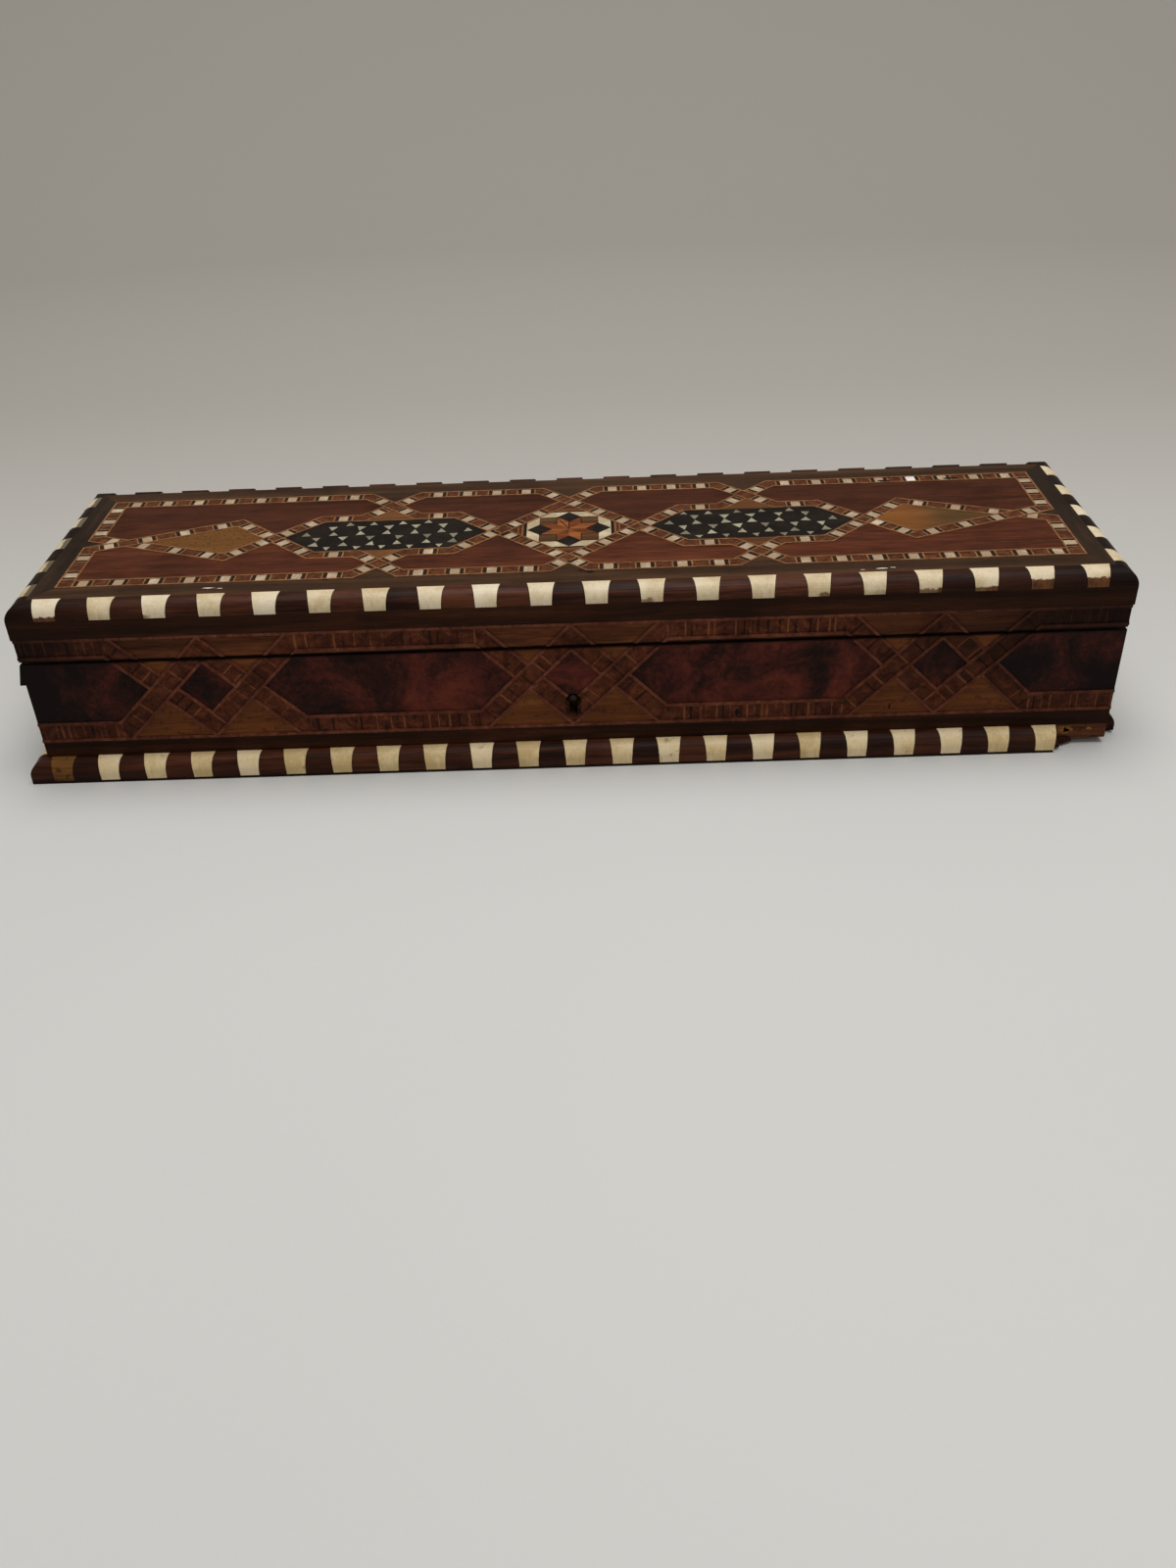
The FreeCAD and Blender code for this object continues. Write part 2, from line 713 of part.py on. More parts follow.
def side_pattern(half, motifs, limits):
    """Outlines of one side's inlay inside its limits: those of the case or those of the lid."""
    runs = [run for path in side_paths(half, motifs) for run in runs_of(path, False)]
    weave(runs, side_strap_width, lambda place: True)
    covers = [run.lane(-side_strap_width / 2, side_strap_width / 2, side_strap_width) for run in runs]
    bands, stringing = [], []
    for run in runs:
        core, lines = strap_lanes(run, side_strap_width, side_stringing_width)
        bands += core
        stringing += lines
    low_line = side_pattern_foot + side_stringing_width
    high_line = side_pattern_head - side_stringing_width
    edge_lines = [
        rectangle(-half, half, side_pattern_foot, low_line),
        rectangle(-half, half, high_line, side_pattern_head),
    ]
    for line in edge_lines:
        stringing += [rest for part in clip_all([line], limits) for rest in left_between(part, covers)]
    zone = clip_all([rectangle(-half, half, low_line, high_line)], limits)[0]
    triangles, panels = [], []
    for rest in left_between(zone, covers):
        at_foot = min(point.y for point in rest) <= low_line + same_point
        at_head = max(point.y for point in rest) >= high_line - same_point
        to_motif = min(abs(middle_of(rest).x - motif_centre(index, motifs)) for index in range(motifs))
        beside_motif = side_strap_width * half_right < to_motif < (side_pattern_head - side_pattern_foot) / 2
        is_chip = beside_motif and area_of(rest) < side_strap_width ** 2
        (triangles if at_foot or at_head or is_chip else panels).append(rest)
    return SidePattern(clip_all(bands, limits), clip_all(stringing, limits), triangles, panels)


case_pieces = SidePattern([], [], [], [])
lid_pieces = SidePattern([], [], [], [])
sides = [
    (front_bed, box_length / 2, front_motifs),
    (left_bed, bed_depth / 2, end_motifs),
    (right_bed, bed_depth / 2, end_motifs),
]
foot_bands = []
for bed, half, motifs in sides:
    for pieces, is_lid in ((case_pieces, False), (lid_pieces, True)):
        seam = in_front_of_bevel(is_lid)
        pattern = side_pattern(half, motifs, seam[:1] if bed is front_bed else seam)
        pieces.bands.extend(lay(pattern.bands, bed))
        pieces.stringing.extend(lay(pattern.stringing, bed, veneer_thickness + stringing_proud))
        pieces.triangles.extend(lay(pattern.triangles, bed))
        pieces.panels.extend(lay(pattern.panels, bed))
    foot_bands += lay([rectangle(-half, half, plinth_height, side_pattern_foot)], bed)


def with_keyhole(pieces):
    """Pieces of the case with the keyhole cut through those that it meets."""
    return [piece.cut(keyhole) if piece.common(keyhole).Volume > 0 else piece for piece in pieces]


add_node("case_burl_panels", with_keyhole(case_pieces.panels))
add_node("case_strap_bands", with_keyhole(case_pieces.bands))
add_node("case_stringing", with_keyhole(case_pieces.stringing))
add_node("case_tan_triangles", case_pieces.triangles)
add_node("case_foot_bands", foot_bands)
add_node("lid_side_straps", lid_pieces.bands)
add_node("lid_side_stringing", lid_pieces.stringing)
add_node("lid_side_triangles", lid_pieces.triangles + lid_pieces.panels)

# Straps of the lid's top: two closed loops that mirror each other across the figures' centre line

frame_x = panel_half_x - top_border_end - top_strap_width / 2
frame_y = panel_half_y - top_border_side - top_strap_width / 2
figure_y = -figure_shift
diamond_half = frame_y * diamond_half_share
hexagon_half = frame_y * hexagon_half_share
hexagon_inner = diamond_half + hexagon_half
hexagon_outer = hexagon_inner + frame_x * hexagon_flat_share
hexagon_centre = (hexagon_inner + hexagon_outer) / 2
kite_apex = hexagon_outer + hexagon_half + kite_short_side
kite_end = frame_x * kite_end_share
kite_slope = kite_short_side / (kite_end - kite_apex)
kite_end_rise = (frame_x - kite_end) * kite_slope


def top_loop(side):
    """One strap of the top, side 1 or -1 saying which way its first corner lies from the centre line."""
    ahead, behind = side * frame_y, -side * frame_y
    hexagon_ahead, hexagon_behind = figure_y + side * hexagon_half, figure_y - side * hexagon_half
    reach_ahead = abs(ahead - hexagon_ahead) / 2
    reach_behind = abs(behind - hexagon_behind) / 2
    turn_ahead = abs(ahead - figure_y) - diamond_half
    turn_behind = abs(behind - figure_y) - diamond_half
    kite_ahead, kite_behind = figure_y + side * kite_short_side, figure_y - side * kite_short_side
    places = [
        (-frame_x, ahead),
        (-hexagon_centre - reach_ahead, ahead),
        (reach_ahead - hexagon_centre, hexagon_ahead),
        (-hexagon_inner, hexagon_ahead),
        (turn_behind, behind),
        (hexagon_centre - reach_behind, behind),
        (hexagon_centre + reach_behind, hexagon_behind),
        (hexagon_outer, hexagon_behind),
        (kite_apex, kite_ahead),
        (frame_x, figure_y - side * kite_end_rise),
        (frame_x, behind),
        (hexagon_centre + reach_behind, behind),
        (hexagon_centre - reach_behind, hexagon_behind),
        (hexagon_inner, hexagon_behind),
        (-turn_ahead, ahead),
        (reach_ahead - hexagon_centre, ahead),
        (-hexagon_centre - reach_ahead, hexagon_ahead),
        (-hexagon_outer, hexagon_ahead),
        (-kite_apex, kite_behind),
        (-frame_x, figure_y + side * kite_end_rise),
    ]
    return [flat_point(x, y) for x, y in places]


def bone_slips(run, core):
    """A core's evenly spaced bone slips, where nothing covers most of them, and the rosewood between."""
    count = max(1, round(run.length / bone_slip_pitch))
    step = run.length / count
    whole_area = bone_slip_length * (top_strap_width - 2 * top_stringing_width)
    bone, cuts = [], [-top_strap_width]
    for index in range(count):
        low = step * (index + 1 / 2) - bone_slip_length / 2
        high = low + bone_slip_length
        slip = run.part(core, low, high)
        if sum(area_of(outline) for outline in slip) > whole_area * whole_slip_share:
            bone += slip
            cuts += [low, high]
    cuts.append(run.length + top_strap_width)
    rosewood = []
    for low, high in zip(cuts[0::2], cuts[1::2]):
        rosewood += run.part(core, low, high)
    return bone, rosewood


top_runs = runs_of(top_loop(1), True) + runs_of(top_loop(-1), True)
weave(top_runs, top_strap_width, lambda place: abs(place.y - figure_y) < hexagon_half / 2)
top_covers = [run.lane(-top_strap_width / 2, top_strap_width / 2, top_strap_width) for run in top_runs]
slips, rosewood_slips, top_lines = [], [], []
for run in top_runs:
    core, lines = strap_lanes(run, top_strap_width, top_stringing_width)
    bone, rosewood = bone_slips(run, core)
    slips += bone
    rosewood_slips += rosewood
    top_lines += lines
add_node("lid_strap_bone_slips", lay(slips, top_bed))
add_node("lid_strap_rosewood_slips", lay(rosewood_slips, top_bed))
add_node("lid_top_stringing", lay(top_lines, top_bed, veneer_thickness + stringing_proud))

# Panels between the straps of the top

hexagon_inside = hexagon_half - top_strap_width / 2
hexagon_band = rectangle(-frame_x, frame_x, figure_y - hexagon_inside, figure_y + hexagon_inside)
beyond_hexagons = [
    rectangle(-frame_x, frame_x, -frame_y, figure_y - hexagon_inside),
    rectangle(-frame_x, frame_x, figure_y + hexagon_inside, frame_y),
]
hexagons, kites, field, small_triangles, long_borders, end_borders = [], [], [], [], [], []
for rest in left_between(rectangle(-frame_x, frame_x, -frame_y, frame_y), top_covers):
    middle = middle_of(rest)
    is_figure = abs(middle.y - figure_y) < hexagon_half / 2
    is_small = area_of(rest) < top_strap_width ** 2 * 2
    if is_figure and abs(middle.x) < diamond_half / 2:
        continue
    if is_figure and abs(abs(middle.x) - hexagon_centre) < hexagon_half:
        hexagons += left_between(rest, beyond_hexagons)
        small_triangles += left_between(rest, [hexagon_band])
    elif is_figure and not is_small:
        kites.append(rest)
    elif is_figure:
        end_borders.append(rest)
    elif is_small:
        long_borders.append(rest)
    else:
        field.append(rest)
for side in (-1, 1):
    panel_edge, frame_edge = side * panel_half_y, side * frame_y
    long_zone = [
        flat_point(-panel_half_x, panel_edge),
        flat_point(panel_half_x, panel_edge),
        flat_point(frame_x, frame_edge),
        flat_point(-frame_x, frame_edge),
    ]
    end_zone = [
        flat_point(side * panel_half_x, -panel_half_y),
        flat_point(side * panel_half_x, panel_half_y),
        flat_point(side * frame_x, frame_y),
        flat_point(side * frame_x, -frame_y),
    ]
    long_borders += left_between(long_zone, top_covers)
    end_borders += left_between(end_zone, top_covers)
add_node("lid_long_borders", lay(long_borders, top_bed))
add_node("lid_end_borders", lay(end_borders, top_bed))
add_node("lid_field_panels", lay(field, top_bed))
add_node("lid_kite_panels", lay(kites, top_bed))
add_node("lid_hexagon_grounds", lay(hexagons, top_bed))
add_node("lid_small_triangles", lay(small_triangles, top_bed))

# Star of the central diamond

star_apothem = diamond_half * half_right - top_strap_width / 2
star_side = star_apothem / (1 + math.sqrt(2))
star_points = 8
star_step = 360 / star_points


def star_way(index):
    """A rhomb's side, in one of the eight directions of the star."""
    angle = math.radians(star_step * index)
    return flat_point(math.cos(angle), math.sin(angle)) * star_side


def star_piece(start, one, other):
    """A rhomb or square from a corner and two sides."""
    corner = flat_point(0, figure_y) + start
    return [corner, corner + one, corner + one + other, corner + other]


rhombs, squares, outer_rhombs, corner_triangles = [], [], [], []
for index in range(star_points):
    before, here, after, beyond = [star_way(index + shift) for shift in (-1, 0, 1, 2)]
    rhombs.append(star_piece(origin, here, after))
    squares.append(star_piece(here, before, after))
    outer_rhombs.append(star_piece(here + after, before, beyond))
    if index % 2 == 0:
        edge_middle = here + before + after
        to_corner = here * (star_apothem / star_side * (math.sqrt(2) - 1))
        sideways = Point(-to_corner.y, to_corner.x, 0)
        offset = edge_middle + flat_point(0, figure_y)
        corner_triangles.append([offset - sideways, offset + to_corner, offset + sideways])
add_node("star_orange_rhombs", lay(rhombs, top_bed))
add_node("star_ebony_squares", lay(squares[0::2], top_bed))
add_node("star_brown_squares", lay(squares[1::2], top_bed))
add_node("star_bone_rhombs", lay(outer_rhombs, top_bed))
add_node("star_corner_triangles", lay(corner_triangles, top_bed))

# Metalwork

for side, one in hinges.items():
    add_node("hinge_" + side + "_case_leaf", [one.case_leaf])
    add_node("hinge_" + side + "_lid_leaf", [one.lid_leaf])
add_node("hinge_pins", [one.pin for one in hinges.values()])
add_node("lock_plate", [lock_plate()])
add_node("lock_bolt", [lock_bolt()])
add_node("lock_spring", [bolt_spring()])
key_pin_start = key_pin_inset - box_depth / 2
key_pin_length = lock_plate_back - key_pin_start
key_pin_place = Point(0, key_pin_start, keyhole_height)
add_node("key_pin", [Part.makeCylinder(key_pin_radius, key_pin_length, key_pin_place, along_y)])
add_node("catch_plate", [catch_plate()])

os.makedirs("parts", exist_ok=True)
for name, shape in nodes.items():
    shape.exportStep("parts/" + name + ".step")
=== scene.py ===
import collections
import math
import random

import bmesh
import bpy
from mathutils import Matrix, Vector
from mathutils.bvhtree import BVHTree


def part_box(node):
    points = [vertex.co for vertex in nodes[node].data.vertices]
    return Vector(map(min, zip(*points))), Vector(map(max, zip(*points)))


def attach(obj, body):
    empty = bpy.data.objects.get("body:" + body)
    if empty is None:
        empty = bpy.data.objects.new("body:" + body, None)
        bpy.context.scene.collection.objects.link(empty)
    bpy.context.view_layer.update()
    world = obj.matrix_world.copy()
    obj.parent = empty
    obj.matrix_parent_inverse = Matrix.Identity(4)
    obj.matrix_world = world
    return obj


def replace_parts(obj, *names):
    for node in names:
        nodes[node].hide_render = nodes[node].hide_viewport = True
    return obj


# An old marquetry box with a hinged lid: the finish of its woods, bone, mastic and metal, and the fine inlay
# that its solids leave out. Metres. X runs along the box, -Y is the front and +Z is up.

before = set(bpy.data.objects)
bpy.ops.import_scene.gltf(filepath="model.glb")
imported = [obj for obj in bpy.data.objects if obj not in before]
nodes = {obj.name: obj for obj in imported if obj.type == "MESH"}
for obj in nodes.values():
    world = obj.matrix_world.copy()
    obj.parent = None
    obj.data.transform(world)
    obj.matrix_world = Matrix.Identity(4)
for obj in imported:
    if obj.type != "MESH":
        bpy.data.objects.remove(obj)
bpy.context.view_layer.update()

mm = 0.001
full_turn = 2 * math.pi
quarter_turn = math.pi / 2
eighth_turn = math.pi / 4
unit_square_radius = math.sqrt(0.5)
along_box = Vector((1, 0, 0))
toward_back = Vector((0, 1, 0))
up = Vector((0, 0, 1))


def in_mm(kind, *rows):
    """Rows of millimetres as a list of named tuples in metres."""
    return [kind(*[part * mm for part in row]) for row in rows]


# Camera of the photograph, in the frame of the box
picture_height = 1600
camera_place = Vector((7.65, -361.85, 209.18)) * mm
camera_pitch = math.radians(34.19)
camera_yaw = math.radians(-0.80)
camera_roll = math.radians(2.24)
camera_focal_pixels = 1367.57
camera_sensor = 36.0
camera_clip_start = 10 * mm

# Floor and light
floor_shades = [(202, 201, 198), (208, 207, 203)]
floor_ramp_shares = (0.3, 0.7)
# painted shade on the wall behind the box
painted_wall_shade = (170, 165, 157)
wall_shade_fade = (-0.12, 0.32)
floor_cloud_width = 0.4
floor_grain_width = 2 * mm
floor_grain_depth = 1 * mm
bowl_middle = -0.75
bowl_sides = 96
flat_radius = 1.37
bend_radius = 0.35
bend_steps = 12
wall_height = 1.2
room_colour = (1.0, 0.985, 0.96, 1)
room_strength = 0.15
Lamp = collections.namedtuple("Lamp", "name place aim size power")
lamps = [
    Lamp("overhead", Vector((0.06, 0.02, 1.2)), Vector((0, -0.05, 0)), (1.0, 0.8), 13.8),
    Lamp("room_side", Vector((0.5, -1.2, 0.9)), Vector((0, 0, 0.03)), (0.8, 0.8), 2.1),
]

# Blocked edging and plinth
edge_width = 5.0 * mm
edge_bone_foot = 5.7 * mm
edge_bone_head = 7.6 * mm
plinth_width = 4.4 * mm
plinth_rounding = 3.8 * mm
plinth_bone_foot = 5.3 * mm
plinth_bone_head = 7.0 * mm
bone_flare_power = 1.7
bone_proud = 0.05 * mm
bone_looseness_share = 0.025
bone_thickness = 0.9 * mm
bone_columns = 5
rear_bone_sink = 0.45 * mm
block_joint = 0.13 * mm
block_swell_shares = (-0.5, 1)
break_lean_share = 0.3
profile_steps = 10
merge_distance = 0.001 * mm

# Inlaid straps
top_slip_length = 2.7 * mm
top_slip_width = 3.5 * mm
ebony_slip_length = 1.1 * mm
hairline_length = 0.4 * mm
side_strap_width = 6.1 * mm
side_core_width = 4.5 * mm
side_motif_pitch = 100.5 * mm
front_motifs = 3
end_motifs = 1
side_bar_pitch = 4.4 * mm
level_bar_pitch = 2.5 * mm
bar_pitch_shares = (0.55, 1.3)
side_bar_width = 0.45 * mm
bar_width_shares = (0.6, 1.5)
bar_seed = 31
line_raise = 0.35 * mm
star_joint_width = 0.3 * mm
inlay_thickness = 0.12 * mm
inlay_proud = 0.025 * mm
seat_share = 0.94
seat_reach = 0.2 * mm
level_margin = 0.1 * mm
shortest_edge = 1 * mm

# Bone triangles of the hexagons
triangle_side = 3.1 * mm
triangle_pitch = 7.9 * mm
triangle_row = 3.6 * mm
triangle_apart = 2.15 * mm
edge_triangle_row = 8.2 * mm
edge_triangle_share = 0.8
triangle_stray_along = 0.5 * mm
triangle_stray_across = 0.2 * mm
triangle_stray_turn = 0.16
triangle_tall_shares = (0.88, 1.1)
triangle_wide_shares = (0.78, 1.02)
triangle_seed = 21

# Screws of the lock, catch and hinges
screw_radius = 1.1 * mm
small_screw_radius = 0.75 * mm
screw_height = 0.25 * mm
screw_inset = 2.4 * mm
hinge_screw_reach = 7.5 * mm
screw_sides = 20
screw_top_share = 0.86
slot_length_share = 3
slot_width_share = 0.3
slot_level_share = 0.95

# Marks of wear: each one's place along and across its surface, then its length and width
Flake = collections.namedtuple("Flake", "along across length width")
lid_losses = in_mm(
    Flake, (5.8, -30.4, 3.6, 2.2), (3.4, -29.6, 2.0, 1.4), (96, 26.6, 5.5, 2.0), (116, 27.0, 6.0, 1.6),
    (112, 26.0, 3.0, 1.5), (-66, -30.0, 1.8, 1.0),
)
lid_scuffs = in_mm(
    Flake, (-97, -32.9, 4.2, 0.7), (-94, -33.3, 2.6, 0.5), (83.7, -34.5, 3.6, 0.7), (86.8, -34.1, 2.2, 0.5),
    (78.5, -34.9, 1.6, 0.4),
)
front_losses = in_mm(
    Flake, (45.6, 13.8, 1.5, 3.0), (-61.0, 15.0, 0.7, 2.0), (88.0, 14.2, 0.8, 2.4), (-1.7, 16.2, 1.4, 4.0),
    (1.7, 16.2, 1.4, 4.0),
)
raw_patches = in_mm(Flake, (1.6, 2.7, 4.6, 3.6), (3.2, 3.0, 3.4, 2.8), (9.0, 3.0, 2.6, 1.2))
flake_corners = 11
flake_reach_shares = (0.45, 1.0)
flake_thickness = 0.08 * mm
flake_proud = 0.03 * mm
white_slip_place = Vector((106.8, 27.8, 0)) * mm

# Steps of splintered moulding left at the broken corner of the plinth
Stump = collections.namedtuple("Stump", "length depth rise")
stumps = in_mm(Stump, (0.5, 3.2, 1.4), (3.4, 1.3, 1.9), (4.6, 0.7, 1.4))
stump_slant_share = 1 / 3

# A strip of veneer at the left front edge that has come away towards its lower end
veneer_height = 6.2 * mm
veneer_lift = 1.5 * mm
veneer_tail_share = 0.6
veneer_reach = 8.0 * mm
veneer_ragged_shares = (0.8, 1)
veneer_steps = 5
veneer_seed = 61

# Figure, fibres and pores of the woods
broad_figure = 9 * mm
band_figure = 6 * mm
panel_figure = 5 * mm
star_figure = 4 * mm
small_figure = 3 * mm
splinter_figure = 2 * mm
slip_figure = 1.6 * mm
fibre_width = 0.55 * mm
fibre_depth = 0.06 * mm
pore_width = 0.3 * mm
speck_width = 1.6 * mm
wave_width = 6 * mm
grain_share = 0.06
grain_ways = {"x": (grain_share, 1, 1), "y": (1, grain_share, 1), "z": (1, 1, grain_share), "even": (1, 1, 1)}
star_ray_count = 8
ramp_shares = (0.36, 0.50, 0.64)
wide_ramp_shares = (0.3, 0.5, 0.7)
pair_ramp_shares = (0.35, 0.65)
burl_ramp_shares = (0.36, 0.46, 0.54, 0.64)
burl_cloud_width = 20 * mm
burl_curl_width = 3.2 * mm
burl_eye_width = 5.5 * mm
burl_end_shade_fade = (80 * mm, 135 * mm)
kite_speck_width = 0.9 * mm
kite_waver_width = 4 * mm
kite_waver = 8 * mm
kite_olive_fade = (96 * mm, 110 * mm)
kite_middle_fade = (-1 * mm, 1 * mm)
corner_black_end = 0.75 * mm
corner_orange_lines = [(0.9 * mm, 1.5 * mm), (2.2 * mm, 2.6 * mm)]
corner_line_blur = 0.1 * mm

# Grime of the woods, darkening along the seam, and painted shade towards the ends and the back of the box
grime_width = 26 * mm
pore_share = 0.45
dark_share = 0.45
rear_shade_fade = (-26 * mm, 30 * mm)
right_dark_start = 56 * mm
left_dark_start = -108 * mm
end_dark_reach = 150 * mm
foot_dark_height = 12 * mm
foot_dark_share = 0.32
seam_waver_width = 5 * mm
seam_waver = 0.5 * mm
seam_dark_reach = 0.7 * mm
seam_dark_edge = 0.1 * mm
lid_seam_dark_reach = 0.4 * mm

# Bone, and the places where it is stained
bone_streak_width = 0.7 * mm
bone_canal_width = 0.35 * mm
bone_cloud_width = 9 * mm
stain_waver_width = 1.2 * mm
stain_waver = 1.6 * mm
stain_chance_width = 12 * mm
half_stain_levels = (51.3 * mm, 51.9 * mm)
foot_stain_levels = (49.8 * mm, 50.6 * mm)
front_row_fade = (-38 * mm, -36 * mm)
rear_row_fade = (35.5 * mm, 36.5 * mm)
half_stain_fade = (112 * mm, 124 * mm)
foot_stain_fade = (62 * mm, 100 * mm)
first_bone_fade = (-136 * mm, -133 * mm)
left_grime_waver_width = 2 * mm
left_grime_waver = 1.4 * mm
left_grime_start = (-147.3 * mm, -146.5 * mm)
left_grime_end = (-144 * mm, -143 * mm)
left_row_fade = (-36.4 * mm, -36 * mm)
plinth_stain_width = 2.6 * mm

# Mastic and metals
mastic_grain_width = 0.8 * mm
mastic_cloud_width = 7 * mm
tarnish_width = 3 * mm
scratch_width = 0.25 * mm


# Node trees written as expressions


def paint(red, green, blue):
    """A colour in screen values from 0 to 255, as a linear colour."""

    def linear(part):
        share = part / 255
        return share / 12.92 if share <= 0.04045 else ((share + 0.055) / 1.055) ** 2.4

    return (linear(red), linear(green), linear(blue), 1)


def operator(operation, is_reflected=False):
    """A method that adds a Math node; a reflected one has its value on the right of the sign."""

    def add_node(self, other):
        terms = (other, self) if is_reflected else (self, other)
        return self.graph.math(operation, *terms)

    return add_node


class Value:
    """An output of a node tree; sums with numbers or other outputs add Math nodes."""

    def __init__(self, graph, socket):
        self.graph = graph
        self.socket = socket

    __add__ = operator("ADD")
    __radd__ = operator("ADD", True)
    __sub__ = operator("SUBTRACT")
    __rsub__ = operator("SUBTRACT", True)
    __mul__ = operator("MULTIPLY")
    __rmul__ = operator("MULTIPLY", True)
    __truediv__ = operator("DIVIDE")
    __rtruediv__ = operator("DIVIDE", True)
    __pow__ = operator("POWER")
    __rpow__ = operator("POWER", True)

    def between(self, low, high):
        """0 below low, 1 above high, and a smooth step from one to the other."""
        settings = {"interpolation_type": "SMOOTHSTEP"}
        inputs = {"Value": self, "From Min": low, "From Max": high}
        return self.graph.node("ShaderNodeMapRange", settings, inputs)


class Graph:
    """A node tree with the few ways of adding to it that this script uses."""

    def __init__(self, tree, material=None):
        self.tree = tree
        self.material = material

    def node(self, kind, settings=None, inputs=None, output=0):
        """A node, with its settings set first and then its inputs; gives one output, or all for None."""
        node = self.tree.nodes.new(kind)
        for name, value in (settings or {}).items():
            if name == "stops":
                self.set_stops(node.color_ramp, value)
            else:
                setattr(node, name, value)
        for key, value in (inputs or {}).items():
            socket = self.find(node.inputs, key)
            if isinstance(value, Value):
                self.tree.links.new(value.socket, socket)
            else:
                socket.default_value = value
        if output is None:
            return [Value(self, socket) for socket in node.outputs]
        return Value(self, self.find(node.outputs, output)) if len(node.outputs) else node

    @staticmethod
    def find(sockets, key):
        if isinstance(key, int):
            return sockets[key]
        return next(each for each in sockets if each.identifier == key or (each.name == key and each.enabled))

    @staticmethod
    def set_stops(ramp, stops):
        while len(ramp.elements) < len(stops):
            ramp.elements.new(1)
        for element, (place, colour) in zip(ramp.elements, stops):
            element.position = place
            element.color = colour

    def math(self, operation, *terms):
        return self.node("ShaderNodeMath", {"operation": operation}, dict(enumerate(terms)))

    def vector(self, x, y, z):
        return self.node("ShaderNodeCombineXYZ", None, {"X": x, "Y": y, "Z": z})

    def axes(self, vector):
        return self.node("ShaderNodeSeparateXYZ", None, {"Vector": vector}, None)

    def place(self):
        return self.node("ShaderNodeTexCoord", None, None, "Object")

    def attribute(self, name):
        return self.node("ShaderNodeAttribute", {"attribute_name": name}, None, "Fac")

    def mapped(self, vector, scale):
        return self.node("ShaderNodeMapping", None, {"Vector": vector, "Scale": scale})

    def noise(self, vector, width, detail=2.0, rough=0.5, warp=0.0):
        """Noise whose lumps are about one width across."""
        inputs = {"Vector": vector, "Scale": 1 / width, "Detail": detail, "Roughness": rough}
        return self.node("ShaderNodeTexNoise", None, {**inputs, "Distortion": warp}, "Fac")

    def waver(self, vector, width, reach, detail=3.0):
        """A distance that wanders by up to half the reach either way."""
        return (self.noise(vector, width, detail) - 0.5) * reach

    def cells(self, vector, width):
        """The distance from the middle of the nearest of many scattered cells."""
        return self.node("ShaderNodeTexVoronoi", None, {"Vector": vector, "Scale": 1 / width}, "Distance")

    def shaded(self, value, shares, shades):
        """A ramp through screen colours that are set at the given shares."""
        stops = [(share, paint(*shade)) for share, shade in zip(shares, shades)]
        return self.node("ShaderNodeValToRGB", {"stops": stops}, {"Fac": value}, "Color")

    def mix(self, share, first, second):
        """The second colour over the first by a share."""
        settings = {"data_type": "RGBA", "blend_type": "MIX"}
        inputs = {"Factor_Float": share, "A_Color": first, "B_Color": second}
        return self.node("ShaderNodeMix", settings, inputs, "Result_Color")

    def bump(self, height, strength, depth):
        inputs = {"Height": height, "Strength": strength, "Distance": depth}
        return self.node("ShaderNodeBump", None, inputs, "Normal")


def new_material(name):
    material = bpy.data.materials.new(name)
    material.use_nodes = True
    material.node_tree.nodes.clear()
    return Graph(material.node_tree, material)


def finish_material(graph, colour, roughness, normal, specular=0.05, metallic=0.0):
    """The shader of a material, with what is the same all over set on its own sockets; gives the material."""
    inputs = {"Base Color": colour, "Roughness": roughness, "Normal": normal}
    inputs.update({"Specular IOR Level": specular, "Metallic": metallic})
    shader = graph.node("ShaderNodeBsdfPrincipled", None, inputs, "BSDF")
    graph.node("ShaderNodeOutputMaterial", None, {"Surface": shader})
    return graph.material


# Woods

seam_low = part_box("case_strap_bands")[1].z
seam_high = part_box("lid_side_straps")[0].z
# a dark colour laid in a narrow band along the seam of the case and the lid
seam_dark_colour = paint(14, 9, 8)
star_centre = sum(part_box("star_orange_rhombs"), Vector()) / 2


def near_seam(graph, place):
    """1 along the edges of the case and the lid where they meet."""
    x, y, z = graph.axes(place)
    height = z + graph.waver(place, seam_waver_width, seam_waver)
    over_case = height.between(seam_low - seam_dark_reach, seam_low - seam_dark_edge)
    over_lid = height.between(seam_high, seam_high + lid_seam_dark_reach)
    return over_case * (1 - over_lid)


def painted_end_shade(graph, place):
    """Painted shade: 1 high up at the two ends of the box, less towards its foot, and 0 along its middle."""
    x, y, z = graph.axes(place)
    height_share = foot_dark_share + (1 - foot_dark_share) * z.between(foot_dark_height, seam_low)
    ends = x.between(right_dark_start, end_dark_reach) + 1 - x.between(-end_dark_reach, left_dark_start)
    return ends * height_share


def painted_rear_shade(graph, place):
    """Painted shade: 0 at the front of the box and 1 at its back."""
    x, y, z = graph.axes(place)
    return y.between(*rear_shade_fade)


def star_rays(graph, place):
    """1 and 0 by turns round the star, with a change along each of its rays."""
    x, y, z = graph.axes(place)
    angle = graph.math("ARCTAN2", y - star_centre.y, x - star_centre.x)
    return graph.math("SINE", angle * star_ray_count / 2).between(-0.1, 0.1)


